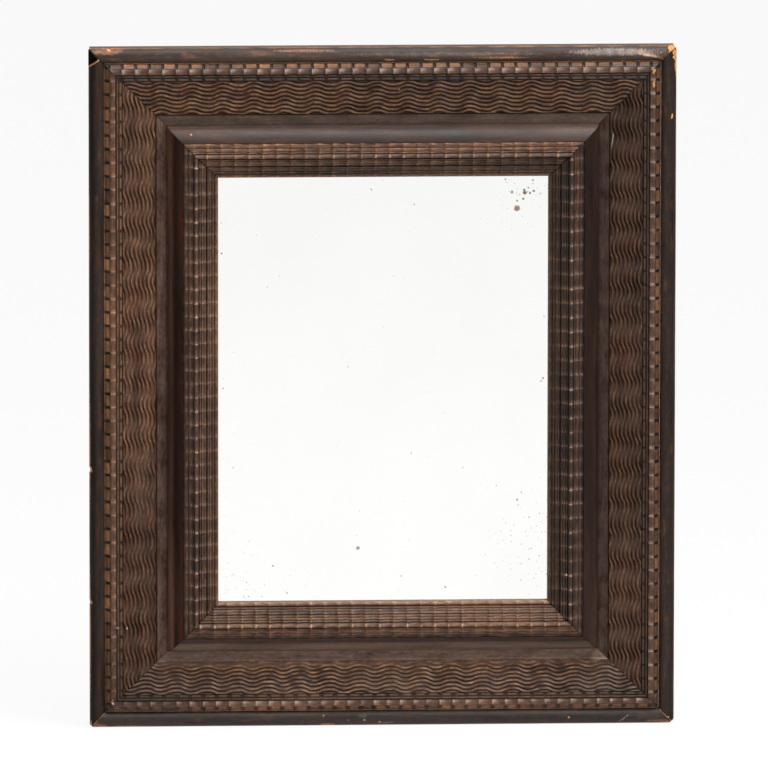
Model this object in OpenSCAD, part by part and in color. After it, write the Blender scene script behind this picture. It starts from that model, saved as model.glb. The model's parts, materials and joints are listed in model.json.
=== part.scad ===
/* [Frame] */
// Width over the outer torus
outer_w = 600; // [520:1:900]
// Height over the outer torus
outer_h = 702; // [600:1:1100]

/* [Outer torus] */
// Width of the torus moulding, which is also its diameter
torus_w = 15.4; // [13:0.1:20]
// Height of the torus centre above the carcase face
torus_lift = 5; // [2:0.1:6]

/* [Ripple bead] */
// Width of the whole ripple bead moulding
bead_w = 19.1; // [18:0.1:24]
// Height of the flat ground beside the bead, above the carcase face
bead_ground_h = 4.5; // [2:0.1:8]
// Width of the quirk between the torus and the bead
quirk_w = 1.2; // [0.6:0.1:2.5]
// Radius of the rippled quarter-round
bead_r = 9; // [7:0.1:10]
// Width of the bead's crest inside the quarter-round
crest_w = 1.4; // [0.6:0.1:2]
// Height of the two thin fillets above the carcase face
fillet_h = 12.3; // [8:0.1:13]
// Width of the three narrow grooves beside the fillets
fillet_groove_w = 1.4; // [0.8:0.1:1.8]

/* [Wave band] */
// Width of the wave band
band_w = 33.2; // [20:0.1:50]
// Thickness of the wave band
band_t = 12.5; // [8:0.1:16]

/* [Shelf and ovolo] */
// Width of the flat shelf
shelf_w = 12.3; // [6:0.1:24]
// Thickness of the moulding at the shelf
shelf_t = 11.3; // [6:0.1:14]
// Height of the upright face below the ovolo
riser_h = 5.7; // [2:0.1:12]
// Radius of the ovolo
ovolo_r = 15; // [10:0.1:20]

/* [Sight moulding] */
// Width of the sight moulding
sight_w = 36.4; // [32:0.1:48]
// Distance from the outer side of the sight moulding to the crown bead
crown_u = 15.2; // [12:0.1:18]
// Height of the crown bead above the ovolo
crown_h = 4.9; // [4:0.1:8]
// Radius of the crown bead
crown_r = 2.6; // [2:0.1:3]
// Radius of the fine ridges on both sides of the crown bead
ridge_r = 1.3; // [0.8:0.1:1.5]
// Distance between the outer fine ridges
ridge_pitch = 3.7; // [3:0.1:4]
// Distance from the crown bead's centre to the nearest outer fine ridge
ridge_off = 4.2; // [3.8:0.1:5]
// Radius of the deep groove inside the crown bead
groove_r = 1.5; // [1:0.1:1.8]
// Distance from the crown bead's centre to the deep groove
groove_off = 8.4; // [7.5:0.1:10]
// Thickness of the lip over the glass
lip_t = 5.6; // [4:0.1:8]
// Height of the sight edge below the ovolo's top
sight_drop = 8.4; // [6:0.1:14]

/* [Mirror plate] */
// Thickness of the glass
glass_t = 4; // [3:0.5:6]
// Width of the lip that covers the edge of the glass
glass_lap = 7; // [5:0.1:10]
// Room between the edge of the glass and the rebate
glass_room = 1.5; // [0.5:0.1:3]

/* [Glass slips] */
// Width of the slips behind the glass
slip_w = 9; // [6:0.5:14]
// Room between a slip and the pieces beside and behind it
slip_room = 0.3; // [0.1:0.1:0.6]

/* [Carcase] */
// Thickness of the carcase boards
carcase_t = 22; // [20:0.5:28]
// How far the torus stands out past the edge of the carcase
carcase_inset = 1.8; // [1:0.1:4]
// How far the sight moulding reaches in past the carcase
inner_overhang = 19.6; // [16:0.1:24]
// Depth of the recess in the back that takes the fixings
recess_d = 6; // [5.6:0.1:8]
// Diameter of the pegs through the corner joints
peg_d = 8; // [6:0.5:12]
// Distance from the frame's edges to the near line of pegs
peg_near = 30; // [20:1:40]
// Distance from the frame's edges to the far line of pegs
peg_far = 84; // [70:1:90]
// Room around a peg or a screw in its hole
hole_room = 0.05; // [0.02:0.01:0.1]

/* [Back boards] */
// Thickness of the back boards
board_t = 8; // [5:0.5:10]
// Width of the step that carries the back boards
board_seat_w = 10; // [8:0.5:14]
// Room between the boards and the carcase, and between the boards
board_room = 1; // [0.5:0.1:2]

/* [Turn buttons] */
// Width of a turn button
button_w = 12; // [10:0.5:14]
// Thickness of a turn button
button_t = 2.4; // [1.6:0.1:2.6]
// Distance from the pivot to the centre of the round tip
button_reach = 17; // [14:0.5:22]
// Distance from the pivot to the edge of the back boards' rebate
pivot_set = 13; // [10:0.5:14]
// Room between a turning button and what lies around it
swing_room = 3; // [2:0.5:6]
// Room above and below a turning button
button_room = 0.2; // [0.1:0.1:0.3]
// Radial clearance between a button and its screw
pivot_fit = 0.08; // [0.02:0.01:0.1]

/* [Screws] */
// Radius of the screws' shanks
shank_r = 1.9; // [1.4:0.1:2.2]
// Radius of the screws' heads
head_r = 3.5; // [3:0.1:4]
// Height of the screws' heads
head_h = 2; // [1.4:0.1:2.2]
// Length of a screw inside the wood
screw_bite = 12; // [8:0.5:14]
// Width of the slot in a screw head
slot_w = 0.9; // [0.5:0.1:1.2]

/* [Hangers] */
// Width of a hanger strap
strap_w = 11; // [9:0.5:13]
// Length of a hanger strap from its outer end to the ring's axis
strap_len = 29; // [24:0.5:32]
// Thickness of a hanger strap
strap_t = 0.9; // [0.6:0.1:1]
// Radius of the ring's wire
wire_r = 1.4; // [1:0.1:1.5]
// Radial clearance between the ring's wire and the strap's eye
eye_fit = 0.08; // [0.02:0.01:0.1]
// Radius of the ring's round end, to the centre of the wire
ring_r = 10; // [8.5:0.1:12]
// Length of the ring's straight sides
ring_leg = 6; // [3:0.5:10]
// Distance along a stile between a hanger and the nearest turn button's sweep
hanger_gap = 12; // [4:1:20]
// Distance from a strap's outer end to its first screw
strap_hole_end = 5.5; // [4.5:0.5:7]
// Distance between a strap's two screws
strap_hole_pitch = 13; // [10:0.5:14]

/* [Hidden] */
$fn = 64;

// The front of the frame faces -Y and the wall is the plane y = 0.
// In every profile x runs from the frame's outer edge inwards, and y is the height above the wall.
mid_w = outer_w / 2;
mid_h = outer_h / 2;

// Where each moulding starts, measured inwards from the frame's outer edge
bead_u = torus_w;
band_u = bead_u + bead_w;
shelf_u = band_u + band_w;
sight_u = shelf_u + shelf_w + ovolo_r;
rail_w = sight_u + sight_w;

// Heights above the wall
ovolo_top_y = carcase_t + shelf_t + riser_h + ovolo_r;
sight_edge_y = ovolo_top_y - sight_drop;
lip_back_y = sight_edge_y - lip_t;
glass_back_y = lip_back_y - glass_t;
board_front_y = recess_d + board_t;

// Places across the frame for what lies behind the mouldings
glass_u = rail_w - glass_lap;
rebate_u = glass_u - glass_room;
slip_u = rebate_u + slip_room;
carcase_in_u = rail_w - inner_overhang;
board_seat_u = carcase_in_u - board_seat_w;
board_u = board_seat_u + board_room;
pivot_u = board_seat_u - pivot_set;
button_sweep = button_reach + button_w / 2;
ledge_u = pivot_u - button_sweep - swing_room;

// Back boards: three of them, counted from the bottom
board_count = 3;
boards_h = outer_h - 2 * board_u;
board_pitch = (boards_h + board_room) / board_count;
board_h = board_pitch - board_room;

// Hangers
eye_r = wire_r + eye_fit + strap_t;
ring_axis_y = recess_d - eye_r;
strap_u = ledge_u + swing_room;
ring_axis_u = strap_u + strap_len;
ring_half = ring_r + wire_r;
hanger_z = board_pitch - button_sweep - hanger_gap - ring_half;

// How far past a surface a cutting shape reaches
past = 1;

// Turns a piece drawn along the top edge to one of the four sides
module on_side(side) {
  if (side == "top") translate([0, 0, mid_h]) children();
  if (side == "bottom") translate([0, 0, -mid_h]) rotate([0, 180, 0]) children();
  if (side == "left") translate([-mid_w, 0, 0]) rotate([0, -90, 0]) children();
  if (side == "right") translate([mid_w, 0, 0]) rotate([0, 90, 0]) children();
}

function side_len(side) = side == "top" || side == "bottom" ? outer_w : outer_h;

// Runs a profile along one side and cuts both ends to the mitre
module mitred(side) {
  half = side_len(side) / 2;
  on_side(side)
    intersection() {
      rotate([90, 0, 90])
        linear_extrude(2 * half, center = true)
          mirror([1, 1, 0])
            children();
      rotate([90, 0, 0])
        linear_extrude(4 * ovolo_top_y, center = true)
          polygon([[-half - past, past], [half + past, past],
                   [half - rail_w - past, -rail_w - past], [-half + rail_w + past, -rail_w - past]]);
    }
}

// A box given by its low and high corners
module block(low, high) {
  translate(low) cube(high - low);
}

// A rectangle in the plane of the frame, with its edges a distance u in from the outer edge
module inside_of(u, y_low, y_high) {
  block([u - mid_w, -y_high, u - mid_h], [mid_w - u, -y_low, mid_h - u]);
}

module torus_profile() {
  r = torus_w / 2;
  centre_y = carcase_t + torus_lift;
  intersection() {
    union() {
      translate([r, centre_y]) circle(r);
      translate([r, carcase_t]) square([r, torus_lift]);
    }
    translate([0, carcase_t]) square([torus_w, torus_w]);
  }
}

module bead_profile() {
  round_end_u = quirk_w + bead_r;
  fillet_w = (bead_w - round_end_u - crest_w - 3 * fillet_groove_w) / 2;
  translate([bead_u, carcase_t])
    difference() {
      union() {
        square([bead_w, bead_ground_h]);
        translate([round_end_u, bead_ground_h])
          intersection() {
            circle(bead_r);
            translate([-bead_r, 0]) square([bead_r + crest_w, bead_r]);
          }
        translate([round_end_u, 0]) square([bead_w - round_end_u, fillet_h]);
      }
      for (i = [0:2])
        translate([bead_w - fillet_groove_w / 2 - i * (fillet_w + fillet_groove_w), fillet_h])
          circle(fillet_groove_w / 2);
    }
}

module band_profile() {
  translate([band_u, carcase_t]) square([band_w, band_t]);
}

module ovolo_profile() {
  translate([shelf_u, carcase_t]) {
    square([shelf_w + ovolo_r, shelf_t]);
    translate([shelf_w, 0]) square([ovolo_r, shelf_t + riser_h]);
    translate([shelf_w + ovolo_r, shelf_t + riser_h])
      intersection() {
        circle(ovolo_r);
        translate([-ovolo_r, 0]) square([ovolo_r, ovolo_r]);
      }
  }
}

module sight_profile() {
  crown_y = ovolo_top_y + crown_h - crown_r;
  groove_u = crown_u + groove_off;
  groove_y = (crown_y + ovolo_top_y) / 2;
  outer_slope = (crown_y - ovolo_top_y) / crown_u;
  ridge_step = groove_r + ridge_r;
  rebate_in = rebate_u - sight_u;
  translate([sight_u, 0])
    difference() {
      union() {
        polygon([[0, carcase_t], [rebate_in, carcase_t], [rebate_in, lip_back_y], [sight_w, lip_back_y],
                 [sight_w, sight_edge_y], [groove_u, groove_y], [crown_u, crown_y], [0, ovolo_top_y]]);
        translate([crown_u, crown_y]) circle(crown_r);
        for (i = [0:2]) {
          ridge_u = crown_u - ridge_off - i * ridge_pitch;
          translate([ridge_u, ovolo_top_y + outer_slope * ridge_u]) circle(ridge_r);
        }
        translate([groove_u - ridge_step, groove_y]) circle(ridge_r);
        translate([groove_u + ridge_step, groove_y - ridge_r]) circle(ridge_r);
      }
      translate([groove_u, groove_y]) circle(groove_r);
    }
}

module stained_wood() {
  color([0.23, 0.16, 0.12]) children();
}

module pine() {
  color([0.72, 0.52, 0.32]) children();
}

module brass() {
  color([0.75, 0.6, 0.3]) children();
}

module outer_torus(side) {
  stained_wood() mitred(side) torus_profile();
}

module ripple_bead(side) {
  stained_wood() mitred(side) bead_profile();
}

module wave_band(side) {
  stained_wood() mitred(side) band_profile();
}

module ovolo(side) {
  stained_wood() mitred(side) ovolo_profile();
}

module sight_moulding(side) {
  stained_wood() mitred(side) sight_profile();
}

// Puts its children at the eight turn button pivots, with the button pointing to the boards along +X
module at_button(side, row) {
  if (side == "left") translate([pivot_u - mid_w, 0, row * board_pitch]) children();
  if (side == "right") translate([mid_w - pivot_u, 0, row * board_pitch]) rotate([0, 180, 0]) children();
  if (side == "top") translate([0, 0, mid_h - pivot_u]) rotate([0, 90, 0]) children();
  if (side == "bottom") translate([0, 0, pivot_u - mid_h]) rotate([0, -90, 0]) children();
}

module at_all_buttons() {
  at_button("top", 0) children();
  at_button("bottom", 0) children();
  for (side = ["left", "right"])
    for (row = [-1:1])
      at_button(side, row) children();
}

// Puts its children where a strap's outer end lies, with the strap pointing to the middle along +X
module at_hanger(side) {
  if (side == "left") translate([strap_u - mid_w, 0, hanger_z]) children();
  if (side == "right") translate([mid_w - strap_u, 0, hanger_z]) rotate([0, 180, 0]) children();
}

module at_strap_holes() {
  for (i = [0, 1])
    translate([strap_hole_end + i * strap_hole_pitch, 0, 0]) children();
}

// A cylinder along Y between two heights above the wall
module post(r, y_low, y_high) {
  translate([0, -y_low, 0]) rotate([90, 0, 0]) cylinder(r = r, h = y_high - y_low);
}

module at_pegs() {
  for (sx = [-1, 1], sz = [-1, 1])
    for (place = [[peg_near, peg_far], [peg_far, peg_near]])
      translate([sx * (mid_w - place[0]), 0, sz * (mid_h - place[1])]) children();
}

// What every carcase board loses: the fixings' recess, the boards' rebate and the holes
module carcase_cuts() {
  inside_of(ledge_u, -past, recess_d);
  inside_of(board_seat_u, -past, board_front_y);
  at_pegs() post(peg_d / 2 + hole_room, -past, carcase_t + past);
  at_all_buttons() post(shank_r + hole_room, 0, recess_d + screw_bite);
  for (side = ["left", "right"])
    at_hanger(side) at_strap_holes() post(shank_r + hole_room, 0, recess_d + screw_bite);
}

// One carcase board, lacking the stated half of its thickness where it laps the next board
module carcase_board(side, lap_y_low, lap_y_high) {
  half = side_len(side) / 2;
  lap = half - carcase_in_u;
  edge = half - carcase_inset;
  pine()
    difference() {
      on_side(side)
        difference() {
          block([-edge, -carcase_t, -carcase_in_u], [edge, 0, -carcase_inset]);
          for (end = [0, 1])
            mirror([end, 0, 0])
              block([lap, -lap_y_high, -carcase_in_u - past], [edge + past, -lap_y_low, past]);
        }
      carcase_cuts();
    }
}

// The rails keep the front half in the corner joints
module carcase_rail(side) {
  carcase_board(side, -past, carcase_t / 2);
}

// The stiles keep the back half in the corner joints
module carcase_stile(side) {
  carcase_board(side, carcase_t / 2, carcase_t + past);
}

module corner_pegs() {
  color([0.6, 0.42, 0.25]) at_pegs() post(peg_d / 2, 0, carcase_t);
}

module mirror_plate() {
  color([0.93, 0.94, 0.93]) inside_of(glass_u, glass_back_y, lip_back_y);
}

// The top and bottom slips run the full width and the side slips stand between them
module glass_slip(side) {
  half = side == "top" || side == "bottom" ? mid_w - slip_u : mid_h - slip_u - slip_w - slip_room;
  pine()
    on_side(side)
      block([-half, -glass_back_y, -slip_u - slip_w], [half, -board_front_y - slip_room, -slip_u]);
}

// Boards are counted from the bottom
module backboard(i) {
  low_z = -boards_h / 2 + i * board_pitch;
  pine() block([board_u - mid_w, -board_front_y, low_z], [mid_w - board_u, -recess_d, low_z + board_h]);
}

module turn_button(side, row) {
  y_high = recess_d - button_room;
  y_low = y_high - button_t;
  brass()
    at_button(side, row)
      difference() {
        union() {
          post(button_w / 2, y_low, y_high);
          translate([button_reach, 0, 0]) post(button_w / 2, y_low, y_high);
          block([0, -y_high, -button_w / 2], [button_reach, -y_low, button_w / 2]);
        }
        post(shank_r + pivot_fit, y_low - past, y_high + past);
      }
}

// A round-head screw whose head starts at the given height above the wall
module round_screw(seat_y) {
  dome_r = (head_r * head_r + head_h * head_h) / (2 * head_h);
  post(shank_r, seat_y, recess_d + screw_bite);
  difference() {
    intersection() {
      translate([0, head_h - dome_r - seat_y, 0]) sphere(dome_r);
      post(head_r, seat_y - head_h, seat_y);
    }
    block([-head_r, head_h / 2 - seat_y, -slot_w / 2], [head_r, head_h + past - seat_y, slot_w / 2]);
  }
}

module button_screws() {
  color([0.5, 0.48, 0.45]) at_all_buttons() round_screw(recess_d - button_t - 2 * button_room);
}

module hanger_screws() {
  color([0.5, 0.48, 0.45])
    for (side = ["left", "right"])
      at_hanger(side) at_strap_holes() round_screw(recess_d - strap_t);
}

module hanger_strap(side) {
  plate_y = recess_d - strap_t;
  brass()
    at_hanger(side)
      difference() {
        union() {
          block([0, -recess_d, -strap_w / 2], [strap_len, -plate_y, strap_w / 2]);
          translate([strap_len, -ring_axis_y, -strap_w / 2]) cylinder(r = eye_r, h = strap_w);
        }
        translate([strap_len, -ring_axis_y, -strap_w / 2 - past])
          cylinder(r = wire_r + eye_fit, h = strap_w + 2 * past);
        at_strap_holes() post(shank_r + hole_room, plate_y - past, recess_d + past);
      }
}

module hanger_ring(side) {
  brass()
    at_hanger(side)
      translate([strap_len, -ring_axis_y, 0]) {
        translate([0, 0, -ring_r]) cylinder(r = wire_r, h = 2 * ring_r);
        for (s = [-1, 1]) {
          translate([0, 0, s * ring_r]) sphere(wire_r);
          translate([0, 0, s * ring_r]) rotate([0, 90, 0]) cylinder(r = wire_r, h = ring_leg);
        }
        translate([ring_leg, 0, 0])
          rotate([90, 0, 0])
            rotate([0, 0, -90])
              rotate_extrude(angle = 180)
                translate([ring_r, 0]) circle(wire_r);
      }
}

carcase_rail("top");  // carcase_top_rail
carcase_rail("bottom");  // carcase_bottom_rail
carcase_stile("left");  // carcase_left_stile
carcase_stile("right");  // carcase_right_stile
corner_pegs();
outer_torus("top");  // outer_torus_top
outer_torus("bottom");  // outer_torus_bottom
outer_torus("left");  // outer_torus_left
outer_torus("right");  // outer_torus_right
ripple_bead("top");  // ripple_bead_top
ripple_bead("bottom");  // ripple_bead_bottom
ripple_bead("left");  // ripple_bead_left
ripple_bead("right");  // ripple_bead_right
wave_band("top");  // wave_band_top
wave_band("bottom");  // wave_band_bottom
wave_band("left");  // wave_band_left
wave_band("right");  // wave_band_right
ovolo("top");  // ovolo_top
ovolo("bottom");  // ovolo_bottom
ovolo("left");  // ovolo_left
ovolo("right");  // ovolo_right
sight_moulding("top");  // sight_moulding_top
sight_moulding("bottom");  // sight_moulding_bottom
sight_moulding("left");  // sight_moulding_left
sight_moulding("right");  // sight_moulding_right
mirror_plate();
glass_slip("top");  // glass_slip_top
glass_slip("bottom");  // glass_slip_bottom
glass_slip("left");  // glass_slip_left
glass_slip("right");  // glass_slip_right
backboard(2);  // backboard_top
backboard(1);  // backboard_middle
backboard(0);  // backboard_bottom
turn_button("top", 0);  // turn_button_top
turn_button("bottom", 0);  // turn_button_bottom
turn_button("left", 1);  // turn_button_left_upper
turn_button("left", 0);  // turn_button_left_middle
turn_button("left", -1);  // turn_button_left_lower
turn_button("right", 1);  // turn_button_right_upper
turn_button("right", 0);  // turn_button_right_middle
turn_button("right", -1);  // turn_button_right_lower
button_screws();
hanger_strap("left");  // hanger_strap_left
hanger_strap("right");  // hanger_strap_right
hanger_ring("left");  // hanger_ring_left
hanger_ring("right");  // hanger_ring_right
hanger_screws();
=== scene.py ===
import json
import math

import bpy
import numpy as np
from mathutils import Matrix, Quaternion, Vector

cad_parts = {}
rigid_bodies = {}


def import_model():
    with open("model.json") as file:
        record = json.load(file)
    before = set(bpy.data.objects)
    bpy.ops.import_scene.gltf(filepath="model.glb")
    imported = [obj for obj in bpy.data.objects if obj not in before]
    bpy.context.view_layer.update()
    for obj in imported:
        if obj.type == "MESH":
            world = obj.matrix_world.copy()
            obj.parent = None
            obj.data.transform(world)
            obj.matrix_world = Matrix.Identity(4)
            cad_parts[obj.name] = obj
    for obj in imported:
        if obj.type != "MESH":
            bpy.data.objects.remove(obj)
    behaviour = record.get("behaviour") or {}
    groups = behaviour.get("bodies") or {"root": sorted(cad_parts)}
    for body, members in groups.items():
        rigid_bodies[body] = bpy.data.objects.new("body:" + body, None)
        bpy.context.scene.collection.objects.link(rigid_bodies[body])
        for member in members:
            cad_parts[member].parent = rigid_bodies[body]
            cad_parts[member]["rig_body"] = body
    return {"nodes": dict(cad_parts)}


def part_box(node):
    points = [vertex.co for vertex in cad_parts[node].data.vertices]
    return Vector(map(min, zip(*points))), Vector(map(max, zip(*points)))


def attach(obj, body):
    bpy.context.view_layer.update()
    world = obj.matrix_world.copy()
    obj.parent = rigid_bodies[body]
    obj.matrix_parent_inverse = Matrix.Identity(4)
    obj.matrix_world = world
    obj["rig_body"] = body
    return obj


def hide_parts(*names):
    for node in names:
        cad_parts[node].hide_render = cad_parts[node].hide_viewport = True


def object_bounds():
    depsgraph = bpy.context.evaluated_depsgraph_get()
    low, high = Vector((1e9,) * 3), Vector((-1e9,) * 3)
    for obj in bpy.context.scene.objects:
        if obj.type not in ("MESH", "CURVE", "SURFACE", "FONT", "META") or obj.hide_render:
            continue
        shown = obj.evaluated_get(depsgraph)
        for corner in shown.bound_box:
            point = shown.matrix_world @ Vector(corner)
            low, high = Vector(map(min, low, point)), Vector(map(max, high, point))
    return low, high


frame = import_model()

# Every length in a profile is in millimetres and becomes metres when a mesh is made. Across a moulding, u runs
# inwards from the frame's outer edge and d is the height above the wall. Along a side, s runs from its middle.
MM = 0.001
CAD_LOW, CAD_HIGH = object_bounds()
HALF_W = CAD_HIGH.x / MM
HALF_H = CAD_HIGH.z / MM
FRAME_BODY = frame["nodes"]["mirror_plate"]["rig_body"]
SIDES = ("top", "bottom", "left", "right")
LEVEL = ("top", "bottom")


def inset(kind):
    """How far inwards from the outer edge a moulding starts and ends"""
    low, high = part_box(kind + "_top")
    return HALF_H - high.z / MM, HALF_H - low.z / MM


def crest(node):
    """A node's highest place above the wall"""
    return -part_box(node)[0].y / MM


TORUS_U0, BEAD_U0 = inset("outer_torus")
BAND_U0, SHELF_U0 = inset("wave_band")
SIGHT_U0, SIGHT_U1 = inset("sight_moulding")
CARCASE_D = crest("carcase_top_rail")
OVOLO_D = crest("ovolo_top")
GLASS_D = crest("mirror_plate")
GLASS_U = HALF_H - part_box("mirror_plate")[1].z / MM
CROWN_D = -CAD_LOW.y / MM


# Numbers and masks

# Where the lowest point of a cut lies, as a share of the way from one cusp to the next
HOLLOW = 0.68
MOST_CUTS = 400


def by_side(*values):
    return dict(zip(SIDES, values))


def smooth(x, low, high):
    """0 at low, 1 at high and a soft step between"""
    t = np.clip((x - low) / (high - low), 0, 1)
    return t * t * (3 - 2 * t)


def bump_at(x, centre, width):
    """1 at the centre, fading out over the width"""
    return np.exp(-((x - centre) / width) ** 2)


def wander(s, seed, reach, size):
    """A slow random drift along a side"""
    rng = np.random.default_rng(seed)
    out = np.zeros_like(s)
    for k in range(1, 6):
        out += rng.normal() / k * np.sin(2 * math.pi * k * s / reach + rng.uniform(0, 2 * math.pi))
    return out * size


def grit(s, u, seed, size):
    """Uneven ground, about -1 to 1, with lumps of the given size"""
    rng = np.random.default_rng(seed)
    out = 0.0 * (s + u)
    for k in range(6):
        angle, phase = rng.uniform(0, math.pi), rng.uniform(0, 2 * math.pi)
        turn = 2 * math.pi / size * rng.uniform(0.6, 1.8)
        out = out + np.sin(turn * (s * math.cos(angle) + u * math.sin(angle)) + phase)
    return out / 3


def cuts(s, pitch, cusp):
    """How near a cusp is, 1 on it and 0 halfway, with the numbers of the nearest cusp and of the cell"""
    at = (s - cusp) / pitch
    cell, middle = np.floor(at), MOST_CUTS // 2
    return np.abs(at - cell - 0.5) * 2, np.round(at).astype(int) + middle, cell.astype(int) + middle


def through(s, pitch, cusp):
    """How much of the way from one cusp to the next lies behind s"""
    f = (s - cusp) / pitch
    return f - np.floor(f)


def scallop(s, pitch, cusp):
    """Height of a hollow cut between two cusps, 0 to 1, steeper on the side that climbs to the next cusp"""
    f = through(s, pitch, cusp)
    return np.where(f < HOLLOW, (1 - f / HOLLOW) ** 2, ((f - HOLLOW) / (1 - HOLLOW)) ** 2)


def uneven(which, seed, spread):
    """A number near 1 for each cut, the same all over that cut"""
    rng = np.random.default_rng(seed)
    return np.clip(1 + spread * rng.standard_normal(MOST_CUTS), 0.25, 2.2)[which % MOST_CUTS]


def mark(s, u, spec, seed, soft=0.3):
    """A ragged patch: its middle (s, u), half length, half width and turn in degrees"""
    s0, u0, long, wide, turn = spec
    c, n = math.cos(math.radians(turn)), math.sin(math.radians(turn))
    p = ((s - s0) * c + (u - u0) * n) / long
    q = ((u - u0) * c - (s - s0) * n) / wide
    ragged = grit(s, u, seed, 4.5) + 0.6 * grit(s, u, seed + 1, 1.9)
    return 1 - smooth(p * p + q * q + 0.42 * ragged, 0.85 - soft, 0.85 + soft)


# Profiles, as rows of (u, d)

def arc(cu, cd, r, a0, a1, step):
    """Part of a circle, from one angle to another in degrees"""
    n = max(2, int(round(math.radians(abs(a1 - a0)) * r / step)) + 1)
    a = np.radians(np.linspace(a0, a1, n))
    return np.column_stack([cu + r * np.cos(a), cd + r * np.sin(a)])


def path(points, step):
    """Straight lines from point to point, cut into steps"""
    out = [np.array(points[0], float)[None]]
    for (u0, d0), (u1, d1) in zip(points[:-1], points[1:]):
        n = max(1, int(math.ceil(math.hypot(u1 - u0, d1 - d0) / step)))
        t = np.linspace(0, 1, n + 1)[1:, None]
        out.append(np.array([u0, d0]) + t * np.array([u1 - u0, d1 - d0]))
    return np.vstack(out)


def joined(*parts):
    """One open line through all the parts, without doubled points"""
    pts = np.vstack(parts)
    keep = np.ones(len(pts), bool)
    keep[1:] = np.hypot(*(pts[1:] - pts[:-1]).T) > 1e-4
    return pts[keep]


# Sweeping a moulding along one side of the frame

# The directions of s, of u and from the middle to the outer edge
AXES = {
    "top": ((1, 0, 0), (0, 0, -1), (0, 0, 1)),
    "bottom": ((1, 0, 0), (0, 0, 1), (0, 0, -1)),
    "left": ((0, 0, -1), (1, 0, 0), (-1, 0, 0)),
    "right": ((0, 0, -1), (-1, 0, 0), (1, 0, 0)),
}
TO_ROOM = (0, -1, 0)
CORNERS = {"top": ("tl", "tr"), "bottom": ("bl", "br"), "left": ("tl", "bl"), "right": ("tr", "br")}

# For each moulding: its piece's name, its node in the CAD model and the first seed of its random marks
KINDS = {
    "torus": ("torus", "outer_torus", 10),
    "bead": ("bead", "ripple_bead", 20),
    "waves": ("waves", "wave_band", 30),
    "ovolo": ("shelf_ovolo", "ovolo", 40),
    "sight": ("sight", "sight_moulding", 50),
}

# What each vertex keeps for the materials. Wear and pale dust carry painted highlights too, tone carries painted
# light and shade, and grime carries painted shade in the hollows
MASKS = ("worn", "grime", "bare", "stain", "red", "tone_and_shade", "chalk")
MOST_TONE = 3

# How wide the mitres stand open at the front
TIGHT = 0.08
OPEN = {("torus", "tl"): 0.9, ("torus", "bl"): 0.25, ("torus", "br"): 0.25, ("torus", "tr"): 0.15,
        ("sight", "tr"): 0.55, ("sight", "tl"): 0.3, ("sight", "bl"): 0.3, ("sight", "br"): 0.25,
        ("bead", "bl"): 0.2, ("bead", "br"): 0.2, ("ovolo", "tl"): 0.15}

# How light the wood of each moulding is made on each side: its own tone with painted light and shade for the way
# that side faces the lamps, as on the top torus, made lighter in place of its sheen
TONE_AND_SHADE_BY_SIDE = {
    "torus": by_side(1.4, 0.87, 0.52, 0.66),
    "bead": by_side(0.57, 1.05, 0.88, 0.48),
    "waves": by_side(0.48, 1.04, 1.2, 0.63),
    "ovolo": by_side(0.95, 1.3, 1.15, 0.66),
    "sight": by_side(0.91, 1.17, 0.80, 0.46),
}

# How each side is made lighter or darker along its length, as (s, tone), and how much of that each moulding takes
ALONG = {
    "top": ((-208, 1.18), (-121, 1.05), (0, 0.98), (125, 0.92), (225, 0.8)),
    "bottom": ((-230, 0.57), (-121, 0.95), (0, 0.89), (125, 0.98), (225, 0.55)),
    "left": ((-243, 0.92), (-129, 1.07), (0, 1.12), (140, 0.77), (254, 0.64)),
    "right": ((-254, 0.72), (-129, 0.88), (0, 0.9), (130, 1.02), (254, 1.06)),
}
ALONG_SHARE = {"torus": 0.3, "bead": 0.6, "waves": 1.0, "ovolo": 0.2, "sight": 0.3}


def seed_of(kind, side):
    return KINDS[kind][2] + SIDES.index(side)


def halves(side):
    """Half the length of a side, and how far its outer edge is from the middle"""
    return (HALF_W, HALF_H) if side in LEVEL else (HALF_H, HALF_W)


def at_corner(s, side, values):
    """The value of the corner at this end of the side"""
    return np.where(s < 0, *(values[c] for c in CORNERS[side]))


def columns(side, u_first, pitch, cusp, count):
    """Places along a side for the grid's columns, the same in every cut"""
    reach = halves(side)[0] - u_first
    first = math.floor((-reach - cusp) / pitch)
    last = math.ceil((reach - cusp) / pitch)
    at = cusp + pitch * np.arange(first * count, last * count + 1) / count
    at = at[np.abs(at) < reach - 0.3]
    return np.concatenate([[-reach, -reach + 0.2], at, [reach - 0.2, reach]])


def store(mesh, name, values):
    """Keeps a number or a vector for each vertex"""
    kind, field = ("FLOAT_VECTOR", "vector") if values.ndim == 3 else ("FLOAT", "value")
    layer = mesh.attributes.new(name, kind, "POINT")
    layer.data.foreach_set(field, values.reshape(-1).astype(np.float32))


def skin(name, co, flip):
    """A closed mesh over a grid of rings, with a flat face at each end"""
    cols, rows = co.shape[:2]
    i, j = np.meshgrid(np.arange(cols - 1), np.arange(rows), indexing="ij")
    j2 = (j + 1) % rows
    quads = np.stack([i * rows + j, i * rows + j2, (i + 1) * rows + j2, (i + 1) * rows + j], -1)
    first, last = np.arange(rows)[::-1], (cols - 1) * rows + np.arange(rows)
    if flip:
        quads, first, last = quads[..., ::-1], first[::-1], last[::-1]
    quads = quads.reshape(-1)
    mesh = bpy.data.meshes.new(name)
    mesh.vertices.add(cols * rows)
    mesh.vertices.foreach_set("co", co.reshape(-1).astype(np.float32))
    corners = np.concatenate([quads, first, last])
    mesh.loops.add(len(corners))
    mesh.loops.foreach_set("vertex_index", corners.astype(np.int32))
    count = len(quads) // 4
    starts = np.concatenate([np.arange(count) * 4, [count * 4, count * 4 + rows]])
    mesh.polygons.add(count + 2)
    mesh.polygons.foreach_set("loop_start", starts.astype(np.int32))
    mesh.polygons.foreach_set("use_smooth", np.ones(count + 2, bool))
    mesh.update(calc_edges=True)
    mesh.validate()
    mesh.set_sharp_from_angle(angle=math.radians(42))
    return mesh


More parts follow.
